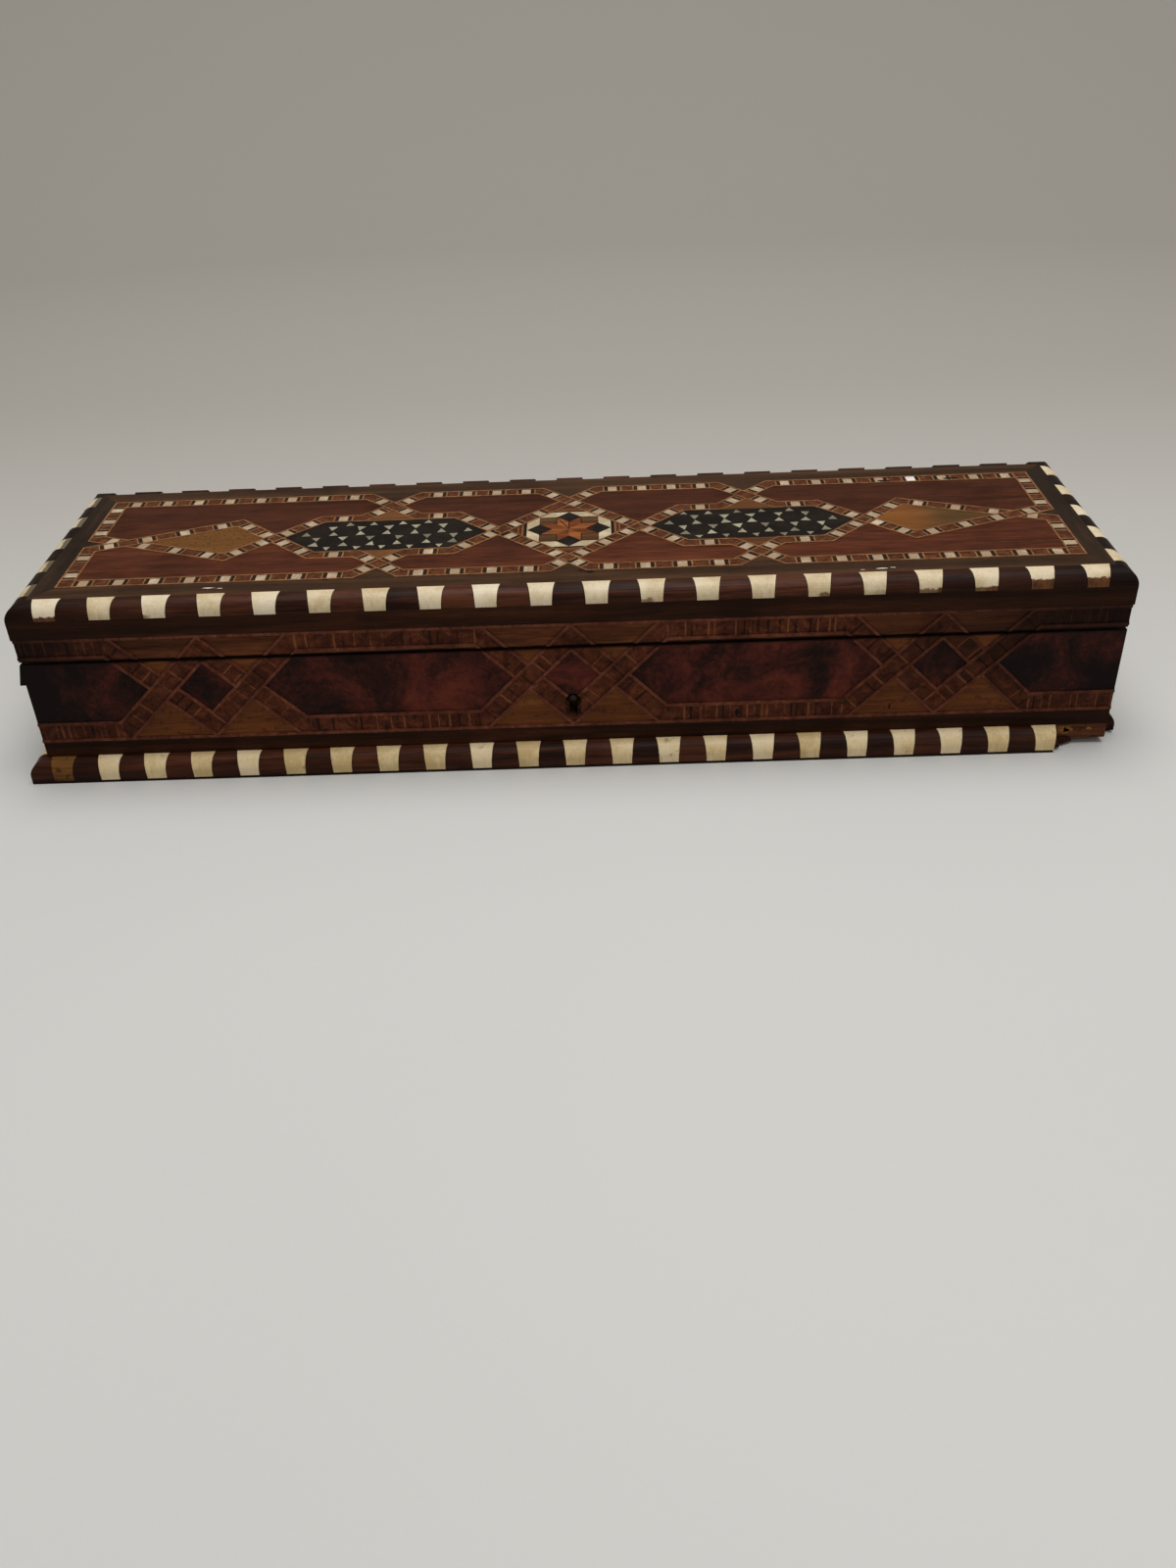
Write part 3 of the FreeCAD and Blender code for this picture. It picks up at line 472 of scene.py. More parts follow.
def wood(name, shades, grain="x", figure=broad_figure, fibre_share=0.30, speck_share=0.0, tone_share=0.0,
         roughness=0.40, grime_share=0.35, rear_shade_share=0.0, ray_share=0.0, seam_share=0.0, end_shade_share=0.0,
         specular=0.05):
    """Polished wood: broad figure, fine fibres, pores, specks and patches of grime, with painted shade
    towards the ends and the back of the box where asked.
    """
    graph = new_material(name)
    place = graph.place()
    run = graph.mapped(place, grain_ways[grain])
    fibres = graph.noise(run, fibre_width, detail=3.0, rough=0.6)
    pores = graph.noise(run, pore_width, detail=1.0).between(0.62, 0.74)
    patches = graph.noise(place, grime_width, detail=4.0, rough=0.6)
    bands = graph.noise(run, figure, detail=4.0, rough=0.55, warp=0.8)
    shade = bands * (1 - fibre_share) + fibres * fibre_share
    if tone_share:
        shade = shade + (graph.attribute("tone") - 0.5) * tone_share
    if ray_share:
        shade = shade + (star_rays(graph, place) - 0.5) * ray_share
    colour = graph.shaded(shade, ramp_shares, shades)
    dark = paint(*[part * dark_share for part in shades[0]])
    if speck_share:
        specks = graph.noise(place, speck_width).between(0.60, 0.68)
        colour = graph.mix(specks * speck_share, colour, dark)
    # painted shade that darkens the wood towards the back of the box
    if rear_shade_share:
        colour = graph.mix(painted_rear_shade(graph, place) * rear_shade_share, colour, dark)
    colour = graph.mix(pores * pore_share, colour, dark)
    colour = graph.mix(patches.between(0.48, 0.72) * grime_share, colour, dark)
    # painted shade that darkens the wood towards the two ends of the box
    if end_shade_share:
        colour = graph.mix(painted_end_shade(graph, place) * end_shade_share, colour, dark)
    if seam_share:
        colour = graph.mix(near_seam(graph, place) * seam_share, colour, seam_dark_colour)
    uneven = roughness + (fibres - 0.5) * 0.25 + patches.between(0.45, 0.7) * 0.12
    height = fibres * 0.6 - pores * 0.7 + graph.noise(place, wave_width) * 1.5
    return finish_material(graph, colour, uneven, graph.bump(height, 0.35, fibre_depth), specular)


def burl(name):
    """Dark red burl: clouds of red and near black with small eyes."""
    graph = new_material(name)
    place = graph.place()
    x, y, z = graph.axes(place)
    clouds = graph.noise(place, burl_cloud_width, detail=5.0, rough=0.6, warp=0.8)
    curls = graph.noise(place, burl_curl_width, detail=4.0, rough=0.65, warp=2.0)
    eyes = 1 - graph.cells(place, burl_eye_width).between(0.05, 0.22)
    # painted shade: the burl darkens towards the two ends of the box
    ends = graph.math("ABSOLUTE", x).between(*burl_end_shade_fade)
    shade = clouds * 0.7 + curls * 0.3 - ends * 0.14
    shades = [(26, 17, 15), (52, 25, 20), (80, 35, 27), (100, 46, 33)]
    colour = graph.mix(eyes * 0.45, graph.shaded(shade, burl_ramp_shares, shades), paint(24, 15, 14))
    colour = graph.mix(near_seam(graph, place) * 0.9, colour, seam_dark_colour)
    height = curls * 1.2 + graph.noise(place, fibre_width, detail=3.0) * 0.4
    return finish_material(graph, colour, 0.36 + curls * 0.18, graph.bump(height, 0.3, fibre_depth))


def two_tone_kites(name):
    """Tan kites: the left one speckled, the right one orange at its blunt end and olive at its long one."""
    graph = new_material(name)
    place = graph.place()
    x, y, z = graph.axes(place)
    run = graph.mapped(place, grain_ways["x"])
    fibres = graph.noise(run, fibre_width, detail=3.0, rough=0.6)
    specks = graph.noise(place, kite_speck_width).between(0.58, 0.63)
    shade = graph.noise(run, panel_figure, detail=4.0, rough=0.6) * 0.6 + fibres * 0.4
    tan = graph.shaded(shade, wide_ramp_shares, [(84, 51, 23), (107, 69, 32), (126, 84, 41)])
    orange = graph.shaded(shade, wide_ramp_shares, [(98, 56, 25), (119, 73, 34), (136, 87, 42)])
    olive = graph.shaded(shade, wide_ramp_shares, [(60, 41, 22), (82, 58, 31), (100, 74, 41)])
    edge = x + graph.waver(place, kite_waver_width, kite_waver, detail=2.0)
    right = graph.mix(edge.between(*kite_olive_fade), orange, olive)
    left = graph.mix(specks * 0.7, tan, paint(52, 34, 20))
    colour = graph.mix(x.between(*kite_middle_fade), left, right)
    return finish_material(graph, colour, 0.42 + (fibres - 0.5) * 0.2, graph.bump(fibres, 0.3, fibre_depth))


def striped_corners(name, low, high):
    """Dark corners round the star, which lies from low to high, with a black and two orange lines."""
    graph = new_material(name)
    place = graph.place()
    x, y, z = graph.axes(place)
    centre = (low + high) / 2
    beyond_x = graph.math("ABSOLUTE", x - centre.x) - (high.x - centre.x)
    beyond_y = graph.math("ABSOLUTE", y - centre.y) - (high.y - centre.y)
    beyond = graph.math("MAXIMUM", beyond_x, beyond_y)
    fibres = graph.noise(graph.mapped(place, grain_ways["x"]), fibre_width, detail=3.0)
    colour = graph.shaded(fibres, pair_ramp_shares, [(46, 26, 16), (82, 48, 28)])
    orange = graph.shaded(fibres, pair_ramp_shares, [(104, 60, 30), (142, 88, 48)])
    for start, end in corner_orange_lines:
        past_end = beyond.between(end, end + corner_line_blur)
        colour = graph.mix(beyond.between(start, start + corner_line_blur) * (1 - past_end), colour, orange)
    past_black = beyond.between(corner_black_end, corner_black_end + corner_line_blur)
    colour = graph.mix(1 - past_black, colour, paint(22, 17, 15))
    return finish_material(graph, colour, 0.4 + fibres * 0.1, graph.bump(fibres, 0.3, fibre_depth))


# Bone, mastic and metal


def bone(name, shades, grain="even", stain=None, grime=None):
    """Old bone: faint streaks and canals, uneven yellowing, and brown stain and grime given by masks."""
    graph = new_material(name)
    place = graph.place()
    run = graph.mapped(place, grain_ways[grain])
    streaks = graph.noise(run, bone_streak_width, detail=3.0, rough=0.6)
    canals = graph.noise(run, bone_canal_width, detail=1.0).between(0.68, 0.76)
    clouds = graph.noise(place, bone_cloud_width, detail=3.0, rough=0.6)
    shade = streaks * 0.35 + clouds * 0.65 + (graph.attribute("tone") - 0.5) * 0.25
    colour = graph.mix(canals * 0.35, graph.shaded(shade, ramp_shares, shades), paint(150, 118, 70))
    if stain:
        brown = graph.shaded(streaks, pair_ramp_shares, [(62, 28, 0), (112, 62, 4)])
        colour = graph.mix(stain(graph, place), colour, brown)
    if grime:
        colour = graph.mix(grime(graph, place) * 0.85, colour, paint(46, 35, 24))
    height = streaks * 0.4 + clouds * 1.2 - canals * 0.5
    normal = graph.bump(height, 0.25, fibre_depth)
    return finish_material(graph, colour, 0.36 + streaks * 0.16, normal, specular=0.35)


def lid_stain(graph, place):
    """Brown feet on many front bones of the lid, brown halves at its right end, and a brown back row."""
    x, y, z = graph.axes(place)
    ragged = z + graph.waver(place, stain_waver_width, stain_waver)
    half = 1 - ragged.between(*half_stain_levels)
    foot = 1 - ragged.between(*foot_stain_levels)
    front = 1 - y.between(*front_row_fade)
    first_bone = 1 - x.between(*first_bone_fade)
    chance = graph.noise(graph.mapped(place, (1, 0, 0)), stain_chance_width).between(0.5, 0.62)
    feet = foot * (x.between(*foot_stain_fade) * 0.8 + first_bone + chance * 0.7)
    mask = half * x.between(*half_stain_fade) + feet
    return (mask * front).between(0.15, 0.95) + y.between(*rear_row_fade) * (0.8 + 0.2 * chance)


def left_row_grime(graph, place):
    """1 along the inner side of the bones at the lid's left end, which have gone dark there."""
    x, y, z = graph.axes(place)
    ragged = x + graph.waver(place, left_grime_waver_width, left_grime_waver)
    inner = ragged.between(*left_grime_start) * (1 - x.between(*left_grime_end))
    return inner * y.between(*left_row_fade)


def plinth_stain(graph, place):
    """Brown stain in patches on the plinth's bones."""
    return graph.noise(place, plinth_stain_width, detail=4.0).between(0.62, 0.78) * 0.5


def mastic(name):
    """Near black filling, dull and a little grainy."""
    graph = new_material(name)
    place = graph.place()
    grains = graph.noise(place, mastic_grain_width, detail=3.0, rough=0.6)
    shade = grains * 0.5 + graph.noise(place, mastic_cloud_width, detail=3.0) * 0.5
    colour = graph.shaded(shade, wide_ramp_shares, [(16, 13, 11), (27, 22, 18), (44, 36, 29)])
    return finish_material(graph, colour, 0.42 + grains * 0.2, graph.bump(grains, 0.4, fibre_depth))


def metal(name, shades, metallic, roughness):
    """Old metal with clouds of tarnish and fine scratches."""
    graph = new_material(name)
    place = graph.place()
    clouds = graph.noise(place, tarnish_width, detail=4.0, rough=0.6)
    scratches = graph.noise(graph.mapped(place, grain_ways["x"]), scratch_width)
    colour = graph.shaded(clouds, ramp_shares, shades)
    uneven = roughness + (clouds - 0.5) * 0.3 + (scratches - 0.5) * 0.15
    return finish_material(graph, colour, uneven, graph.bump(scratches, 0.2, fibre_depth), metallic=metallic)


# Finishes of the solids and of the pieces below

carcase = wood("carcase_boards", [(74, 46, 28), (104, 66, 40), (130, 86, 54)], fibre_share=0.4, roughness=0.6)
raw_board = wood("raw_base_board", [(66, 37, 23), (96, 56, 36), (122, 78, 50)], fibre_share=0.5,
                 roughness=0.7, speck_share=0.6)
fresh_wood = wood("fresh_break", [(98, 62, 28), (128, 88, 42), (152, 110, 60)], "even", splinter_figure,
                  fibre_share=0.6, roughness=0.7, speck_share=0.5)
footing_wood = wood("footing_strips", [(20, 13, 12), (32, 20, 17), (48, 30, 23)], roughness=0.55)
rosewood = wood("rosewood_bands", [(32, 16, 9), (50, 26, 14), (70, 39, 21)], figure=band_figure,
                end_shade_share=0.5)
edge_rosewood = wood("rosewood_blocks", [(36, 18, 11), (60, 31, 20), (86, 47, 30)], figure=small_figure,
                     tone_share=0.22, roughness=0.42, end_shade_share=0.88, specular=0.08)
border_wood = wood("lid_border", [(44, 29, 18), (62, 41, 26), (78, 53, 34)], figure=panel_figure)
end_border_wood = wood("lid_end_border", [(32, 23, 16), (46, 33, 24), (60, 45, 33)], "y", panel_figure)
mahogany = wood("lid_field", [(48, 23, 14), (82, 40, 23), (104, 54, 31)], figure=panel_figure,
                fibre_share=0.6, rear_shade_share=0.45)
tan_wood = wood("tan_triangles", [(84, 46, 23), (104, 58, 29), (122, 73, 37)], figure=panel_figure,
                fibre_share=0.45, speck_share=0.4, seam_share=0.9)
small_tan_wood = wood("small_triangles", [(78, 47, 25), (102, 64, 35), (122, 81, 46)], figure=panel_figure,
                      fibre_share=0.45)
dull_wood = wood("lid_side_triangles", [(62, 33, 19), (88, 48, 27), (112, 64, 36)], figure=panel_figure,
                 fibre_share=0.45, seam_share=0.9, end_shade_share=0.8)
star_brown = wood("star_brown", [(62, 39, 23), (84, 55, 32), (102, 70, 43)], figure=star_figure)
star_orange = wood("star_orange", [(92, 46, 20), (126, 68, 33), (152, 90, 48)], figure=star_figure,
                   fibre_share=0.5, ray_share=0.16)
strap_wood = wood("side_straps", [(54, 26, 16), (82, 41, 25), (106, 55, 34)], "even", small_figure,
                  seam_share=0.9, end_shade_share=0.94)
top_strap_wood = wood("top_straps", [(54, 29, 17), (84, 46, 27), (110, 65, 38)], "even", slip_figure,
                      grime_share=0.25)
top_line_wood = wood("top_stringing", [(104, 69, 43), (132, 91, 58), (154, 112, 75)], "even", small_figure,
                     grime_share=0.2)
side_line_wood = wood("side_stringing", [(74, 39, 28), (100, 55, 39), (122, 72, 52)], "even", small_figure,
                      seam_share=0.8, end_shade_share=0.84)
bar_wood = wood("side_bars", [(40, 22, 17), (88, 49, 34), (124, 75, 46)], "even", small_figure,
                tone_share=0.45, end_shade_share=0.88)
hairline_wood = wood("strap_hairlines", [(108, 74, 46), (136, 98, 63), (158, 120, 81)], "even", small_figure,
                     grime_share=0.2)
ebony = wood("ebony", [(18, 13, 11), (28, 20, 17), (42, 31, 25)], "even", small_figure)
strap_ebony = wood("strap_ebony", [(30, 18, 12), (46, 28, 18), (62, 39, 26)], "even", small_figure)
filler_wood = wood("plinth_filler", [(74, 46, 22), (110, 72, 36), (136, 94, 50)], figure=small_figure,
                   speck_share=0.6)
kite_wood = two_tone_kites("kite_panels")
burl_wood = burl("burl_panels")
black_mastic = mastic("black_mastic")
corner_wood = striped_corners("star_corners", *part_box("star_bone_rhombs"))
lid_bone = bone("lid_bone", [(194, 171, 130), (213, 194, 159), (224, 209, 181)], "z", lid_stain,
                left_row_grime)
plinth_bone = bone("plinth_bone", [(205, 176, 122), (227, 201, 152), (237, 215, 175)], "z", plinth_stain)
slip_bone = bone("strap_bone", [(158, 135, 108), (196, 176, 149), (218, 202, 180)])
star_bone = bone("star_bone", [(170, 152, 118), (206, 191, 158), (226, 214, 188)])
triangle_bone = bone("triangle_bone", [(110, 103, 85), (142, 134, 112), (170, 162, 138)])
new_bone = bone("white_slip", [(222, 216, 206), (238, 234, 227), (246, 243, 238)])
scuff_white = bone("white_scuffs", [(216, 208, 198), (234, 228, 220), (244, 240, 235)])
brass = metal("old_brass", [(96, 70, 32), (150, 114, 56), (186, 148, 82)], metallic=1.0, roughness=0.42)
lock_brass = metal("dark_brass", [(50, 38, 20), (84, 64, 34), (116, 90, 50)], metallic=1.0, roughness=0.5)
iron = metal("old_iron", [(34, 30, 28), (62, 56, 52), (96, 90, 84)], metallic=0.9, roughness=0.5)

node_materials = {
    carcase: [
        "case_front_wall", "case_back_wall", "case_left_wall", "case_right_wall", "lid_top_board",
        "lid_front_rail", "lid_back_rail", "lid_left_rail", "lid_right_rail",
    ],
    raw_board: ["base_board"],
    footing_wood: [
        "plinth_front_footing", "plinth_right_footing", "plinth_back_footing", "plinth_left_footing",
    ],
    rosewood: [
        "case_back_veneer", "case_foot_bands", "plinth_back_moulding", "lid_front_rim", "lid_back_rim",
        "lid_end_rims", "lid_back_veneer",
    ],
    border_wood: ["lid_long_borders"],
    end_border_wood: ["lid_end_borders"],
    mahogany: ["lid_field_panels"],
    burl_wood: ["case_burl_panels"],
    tan_wood: ["case_tan_triangles"],
    small_tan_wood: ["lid_small_triangles"],
    dull_wood: ["lid_side_triangles"],
    kite_wood: ["lid_kite_panels"],
    strap_wood: ["case_strap_bands", "lid_side_straps"],
    side_line_wood: ["case_stringing", "lid_side_stringing"],
    top_strap_wood: ["lid_strap_rosewood_slips"],
    top_line_wood: ["lid_top_stringing"],
    slip_bone: ["lid_strap_bone_slips"],
    star_bone: ["star_bone_rhombs"],
    black_mastic: ["lid_hexagon_grounds"],
    corner_wood: ["star_corner_triangles"],
    ebony: ["star_ebony_squares"],
    star_orange: ["star_orange_rhombs"],
    star_brown: ["star_brown_squares"],
    brass: [
        "hinge_left_case_leaf", "hinge_right_case_leaf", "hinge_left_lid_leaf", "hinge_right_lid_leaf",
        "catch_plate",
    ],
    lock_brass: ["lock_plate"],
    iron: ["hinge_pins", "lock_spring", "lock_bolt", "key_pin"],
}
for material, names in node_materials.items():
    for name in names:
        slots = nodes[name].data.materials
        slots.clear()
        slots.append(material)


# Geometry trees, and the kinds of their inputs

number = "NodeSocketFloat"
count = "NodeSocketInt"
finish = "NodeSocketMaterial"


def new_geometry(name, inputs):
    """The graph of a geometry tree with named inputs, a seed and a material among them, and their values."""
    tree = bpy.data.node_groups.new(name, "GeometryNodeTree")
    tree.interface.new_socket("Geometry", in_out="INPUT", socket_type="NodeSocketGeometry")
    for label, kind in {**inputs, "Seed": count, "Material": finish}.items():
        tree.interface.new_socket(label, in_out="INPUT", socket_type=kind)
    tree.interface.new_socket("Geometry", in_out="OUTPUT", socket_type="NodeSocketGeometry")
    graph = Graph(tree)
    values = graph.node("NodeGroupInput", None, None, None)
    return graph, {value.socket.name: value for value in values}


def named_vector(graph, name):
    settings = {"data_type": "FLOAT_VECTOR"}
    return graph.node("GeometryNodeInputNamedAttribute", settings, {"Name": name}, "Attribute")


def set_on_points(graph, given, shape, looseness=0.0):
    """The shape on every point, turned and sized by the points, a little uneven, with a tone of its own."""
    turn = graph.node("FunctionNodeEulerToRotation", None, {"Euler": named_vector(graph, "turn")})
    low = graph.vector(1 - looseness, 1 - looseness, 1)
    high = graph.vector(1 + looseness, 1 + looseness, 1)
    random_inputs = {"Min": low, "Max": high, "Seed": given["Seed"]}
    uneven = graph.node("FunctionNodeRandomValue", {"data_type": "FLOAT_VECTOR"}, random_inputs, "Value")
    scale_inputs = {0: named_vector(graph, "size"), 1: uneven}
    scale = graph.node("ShaderNodeVectorMath", {"operation": "MULTIPLY"}, scale_inputs)
    placing = {"Points": given["Geometry"], "Instance": shape, "Rotation": turn, "Scale": scale}
    placed = graph.node("GeometryNodeInstanceOnPoints", None, placing)
    tone_seed = {"Seed": given["Seed"] + 1}
    tone = graph.node("FunctionNodeRandomValue", {"data_type": "FLOAT"}, tone_seed, "Value_001")
    one_each = {"data_type": "FLOAT", "domain": "INSTANCE"}
    toning = {"Geometry": placed, "Name": "tone", "Value": tone}
    toned = graph.node("GeometryNodeStoreNamedAttribute", one_each, toning)
    whole = graph.node("GeometryNodeRealizeInstances", None, {"Geometry": toned})
    dressed = graph.node("GeometryNodeSetMaterial", None, {"Geometry": whole, "Material": given["Material"]})
    graph.node("NodeGroupOutput", None, {"Geometry": dressed})
    return graph.tree


def inlay_tree():
    """Thin prisms with a few sides: plates of inlay, or triangles."""
    graph, given = new_geometry("inlay_on_points", {"Sides": count, "Radius": number, "Spin": number})
    prism_inputs = {"Vertices": given["Sides"], "Radius": given["Radius"], "Depth": 1.0}
    prism = graph.node("GeometryNodeMeshCylinder", None, prism_inputs, "Mesh")
    spin = graph.vector(0, 0, given["Spin"])
    turned = graph.node("GeometryNodeTransform", None, {"Geometry": prism, "Rotation": spin})
    return set_on_points(graph, given, turned)


def keystone_tree():
    """Bone keystones bent over a rounded edge: an upright foot, a quarter round and a flat top."""
    labels = ("Foot", "Head", "Upright", "Rounding", "Flat", "Looseness")
    graph, given = new_geometry("keystones_on_points", {label: number for label in labels})
    sheet_inputs = {"Size X": 1.0, "Size Y": 1.0, "Vertices X": bone_columns, "Vertices Y": profile_steps + 1}
    sheet = graph.node("GeometryNodeMeshGrid", None, sheet_inputs, "Mesh")
    across, along = graph.axes(graph.node("GeometryNodeInputPosition"))[:2]
    climb = along + 0.5
    upright, rounding, flat = given["Upright"], given["Rounding"], given["Flat"]
    travel = climb * (upright + rounding * quarter_turn + flat)
    arc = graph.math("MAXIMUM", travel - upright, 0.0)
    angle = graph.math("MINIMUM", arc / rounding, quarter_turn)
    beyond = graph.math("MAXIMUM", arc - rounding * quarter_turn, 0.0)
    outer = rounding + bone_proud
    depth = rounding - outer * graph.math("COSINE", angle) + beyond
    rise = graph.math("MINIMUM", travel, upright) + outer * graph.math("SINE", angle)
    width = given["Foot"] + (given["Head"] - given["Foot"]) * climb ** bone_flare_power
    moved = graph.vector(across * width, depth, rise)
    bent = graph.node("GeometryNodeSetPosition", None, {"Geometry": sheet, "Position": moved})
    thick = {"Mesh": bent, "Offset Scale": -bone_thickness, "Individual": False}
    inside = graph.node("GeometryNodeExtrudeMesh", None, thick, "Mesh")
    both = graph.node("GeometryNodeJoinGeometry")
    for part in (inside, graph.node("GeometryNodeFlipFaces", None, {"Mesh": bent})):
        graph.tree.links.new(part.socket, both.socket.node.inputs[0])
    merged = graph.node("GeometryNodeMergeByDistance", None, {"Geometry": both, "Distance": merge_distance})
    outward = graph.node("GeometryNodeFlipFaces", None, {"Mesh": merged})
    return set_on_points(graph, given, outward, given["Looseness"])


def screw_tree():
    """Slotted screw heads."""
    graph, given = new_geometry("screws_on_points", {"Radius": number, "Height": number})
    radius, height = given["Radius"], given["Height"]
    head_inputs = {"Vertices": screw_sides, "Radius Top": radius * screw_top_share, "Radius Bottom": radius}
    head = graph.node("GeometryNodeMeshCone", None, {**head_inputs, "Depth": height}, "Mesh")
    slot_size = graph.vector(radius * slot_length_share, radius * slot_width_share, height)
    slot = graph.node("GeometryNodeMeshCube", None, {"Size": slot_size}, "Mesh")
    slot_place = graph.vector(0, 0, height * slot_level_share)
    slot = graph.node("GeometryNodeTransform", None, {"Geometry": slot, "Translation": slot_place})
    cut = {"Mesh 1": head, "Mesh 2": slot}
    slotted = graph.node("GeometryNodeMeshBoolean", {"operation": "DIFFERENCE"}, cut, "Mesh")
    return set_on_points(graph, given, slotted)


# Making pieces

Spot = collections.namedtuple("Spot", "place turn size")


def spot(place, along, out, size=(1, 1, 1)):
    """A place for a shape: its own X lies along, its own Z points out."""
    turn = Matrix((along, out.cross(along), out)).transposed().to_euler()
    return Spot(place, turn, size)


def linked(name, data):
    item = bpy.data.objects.new(name, data)
    bpy.context.scene.collection.objects.link(item)
    return item


def carried(piece, body):
    """The piece, riding on a body."""
    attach(piece, body)
    return piece


def grown(name, body, slot, tree, spots, **values):
    """A plain mesh that a geometry tree grows on a list of spots."""
    mesh = bpy.data.meshes.new(name)
    mesh.from_pydata([each.place for each in spots], [], [])
    for label in ("turn", "size"):
        layer = mesh.attributes.new(label, "FLOAT_VECTOR", "POINT")
        layer.data.foreach_set("vector", [part for each in spots for part in getattr(each, label)])
    piece = linked(name, mesh)
    modifier = piece.modifiers.new("grown", "NODES")
    modifier.node_group = tree
    for item in tree.interface.items_tree:
        if item.in_out == "INPUT" and item.name.lower() in values:
            modifier[item.identifier] = values[item.name.lower()]
    bpy.context.view_layer.update()
    evaluated = piece.evaluated_get(bpy.context.evaluated_depsgraph_get())
    piece.data = bpy.data.meshes.new_from_object(evaluated)
    piece.modifiers.remove(modifier)
    return carried(piece, body)


def new_piece(name, mesh, body, material):
    data = bpy.data.meshes.new(name)
    mesh.to_mesh(data)
    mesh.free()
    data.materials.append(material)
    return carried(linked(name, data), body)


def skin(mesh, rings):
    """Faces from each ring of corners to the next one."""
    faces = []
    for lower, upper in zip(rings, rings[1:]):
        for index, corner in enumerate(lower):
            after = (index + 1) % len(lower)
            faces.append(mesh.faces.new([lower[after], corner, upper[index], upper[after]]))
    return faces


def closed_skin(mesh, rings):
    """Faces between the rings and over the first and the last of them."""
    return [mesh.faces.new(rings[0]), mesh.faces.new(rings[-1][::-1])] + skin(mesh, rings)


inlay = inlay_tree()
keystones = keystone_tree()
screws = screw_tree()

# Reading the solids


def solid_parts(node):
    """The corners of each separate solid of a node."""
    mesh = bmesh.new()
    mesh.from_mesh(nodes[node].data)
    bmesh.ops.remove_doubles(mesh, verts=mesh.verts, dist=merge_distance)
    seen, parts = set(), []
    for vert in mesh.verts:
        if vert in seen:
            continue
        part, queue = [], [vert]
        seen.add(vert)
        while queue:
            here = queue.pop()
            part.append(here.co.copy())
            for edge in here.link_edges:
                other = edge.other_vert(here)
                if other not in seen:
                    seen.add(other)
                    queue.append(other)
        parts.append(part)
    mesh.free()
    return parts


def span(points, axis):
    reaches = [point[axis] for point in points]
    return min(reaches), max(reaches)


def middle(points):
    return Vector([sum(span(points, axis)) / 2 for axis in range(3)])


def surface_of(name):
    """The searchable surface of a node."""
    mesh = nodes[name].data
    corners = [vert.co.copy() for vert in mesh.vertices]
    return BVHTree.FromPolygons(corners, [list(polygon.vertices) for polygon in mesh.polygons])


def lies_on(surface, points, out):
    """Whether every point has the surface right under it."""
    starts = [point + out * seat_reach for point in points]
    return all(surface.ray_cast(start, -out, 2 * seat_reach)[0] is not None for start in starts)


# Blocked edging: rosewood blocks between bone keystones

Edging = collections.namedtuple("Edging", "width upright rounding foot head")
BoneRow = collections.namedtuple("BoneRow", "turn reach half low centres")
BlockEdge = collections.namedtuple("BlockEdge", "along lean side")


def profile_points(edging):
    """Depth, rise and climb of points up the outer face, round the edge and across the top."""
    flat = edging.width - edging.rounding
    length = edging.upright + edging.rounding * quarter_turn + flat
    points = []
    for step in range(profile_steps + 1):
        climb = step / profile_steps
        travel = climb * length
        arc = max(travel - edging.upright, 0)
        angle = min(arc / edging.rounding, quarter_turn)
        beyond = max(arc - edging.rounding * quarter_turn, 0)
        depth = edging.rounding * (1 - math.cos(angle)) + beyond
        rise = min(travel, edging.upright) + edging.rounding * math.sin(angle)
        points.append((depth, rise, climb))
    points.append((edging.width, 0, 1))
    return points


def bone_rows(bone_nodes, block_node, edging):
    """The bones of each side, as distances along the side seen from outside."""
    low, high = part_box(block_node)
    rows = {}
    for part in [part for node in bone_nodes for part in solid_parts(node)]:
        point = middle(part)
        on_long_side = abs(point.y) > high.y - edging.width
        quarter = (0 if point.y < 0 else 2) if on_long_side else (1 if point.x > 0 else 3)
        turn = Matrix.Rotation(quarter * quarter_turn, 3, "Z")
        centres = rows.setdefault(quarter, (turn, []))[1]
        low_along, high_along = span([turn.transposed() @ corner for corner in part], 0)
        if high_along - low_along > edging.foot:
            centres.append((low_along + high_along) / 2)
    found = []
    for quarter, (turn, centres) in sorted(rows.items()):
        reach = (-low.y, high.x, high.y, -low.x)[quarter] - bone_proud * (1 + bone_looseness_share)
        half = high.x if quarter % 2 == 0 else high.y
        found.append(BoneRow(turn, reach, half, low.z, sorted(centres)))
    return found


def block_edges(row, start, end):
    """The edges of a row's blocks in order: a mitre or a break at each end, and the bones' sides between."""
    first = BlockEdge(-row.half, 1, 0) if start is None else BlockEdge(start, break_lean_share, 0)
    last = BlockEdge(row.half, -1, 0) if end is None else BlockEdge(end, -break_lean_share, 0)
    return [first, *[BlockEdge(centre, 0, side) for centre in row.centres for side in (-1, 1)], last]


def edge_place(edge, edging, depth, climb):
    """How far along its row a block's edge is, at a depth and a climb of the profile."""
    half_bone = (edging.foot + (edging.head - edging.foot) * climb ** bone_flare_power) / 2 + block_joint
    return edge.along + edge.lean * depth + edge.side * half_bone


def block_ring(mesh, row, edging, edge, swell):
    """The corners of one end of a block."""
    ring = []
    for depth, rise, climb in profile_points(edging):
        along = edge_place(edge, edging, depth, climb)
        local = Vector((along, depth - row.reach - swell, row.low + rise + swell / 2))
        ring.append(mesh.verts.new(row.turn @ local))
    return ring


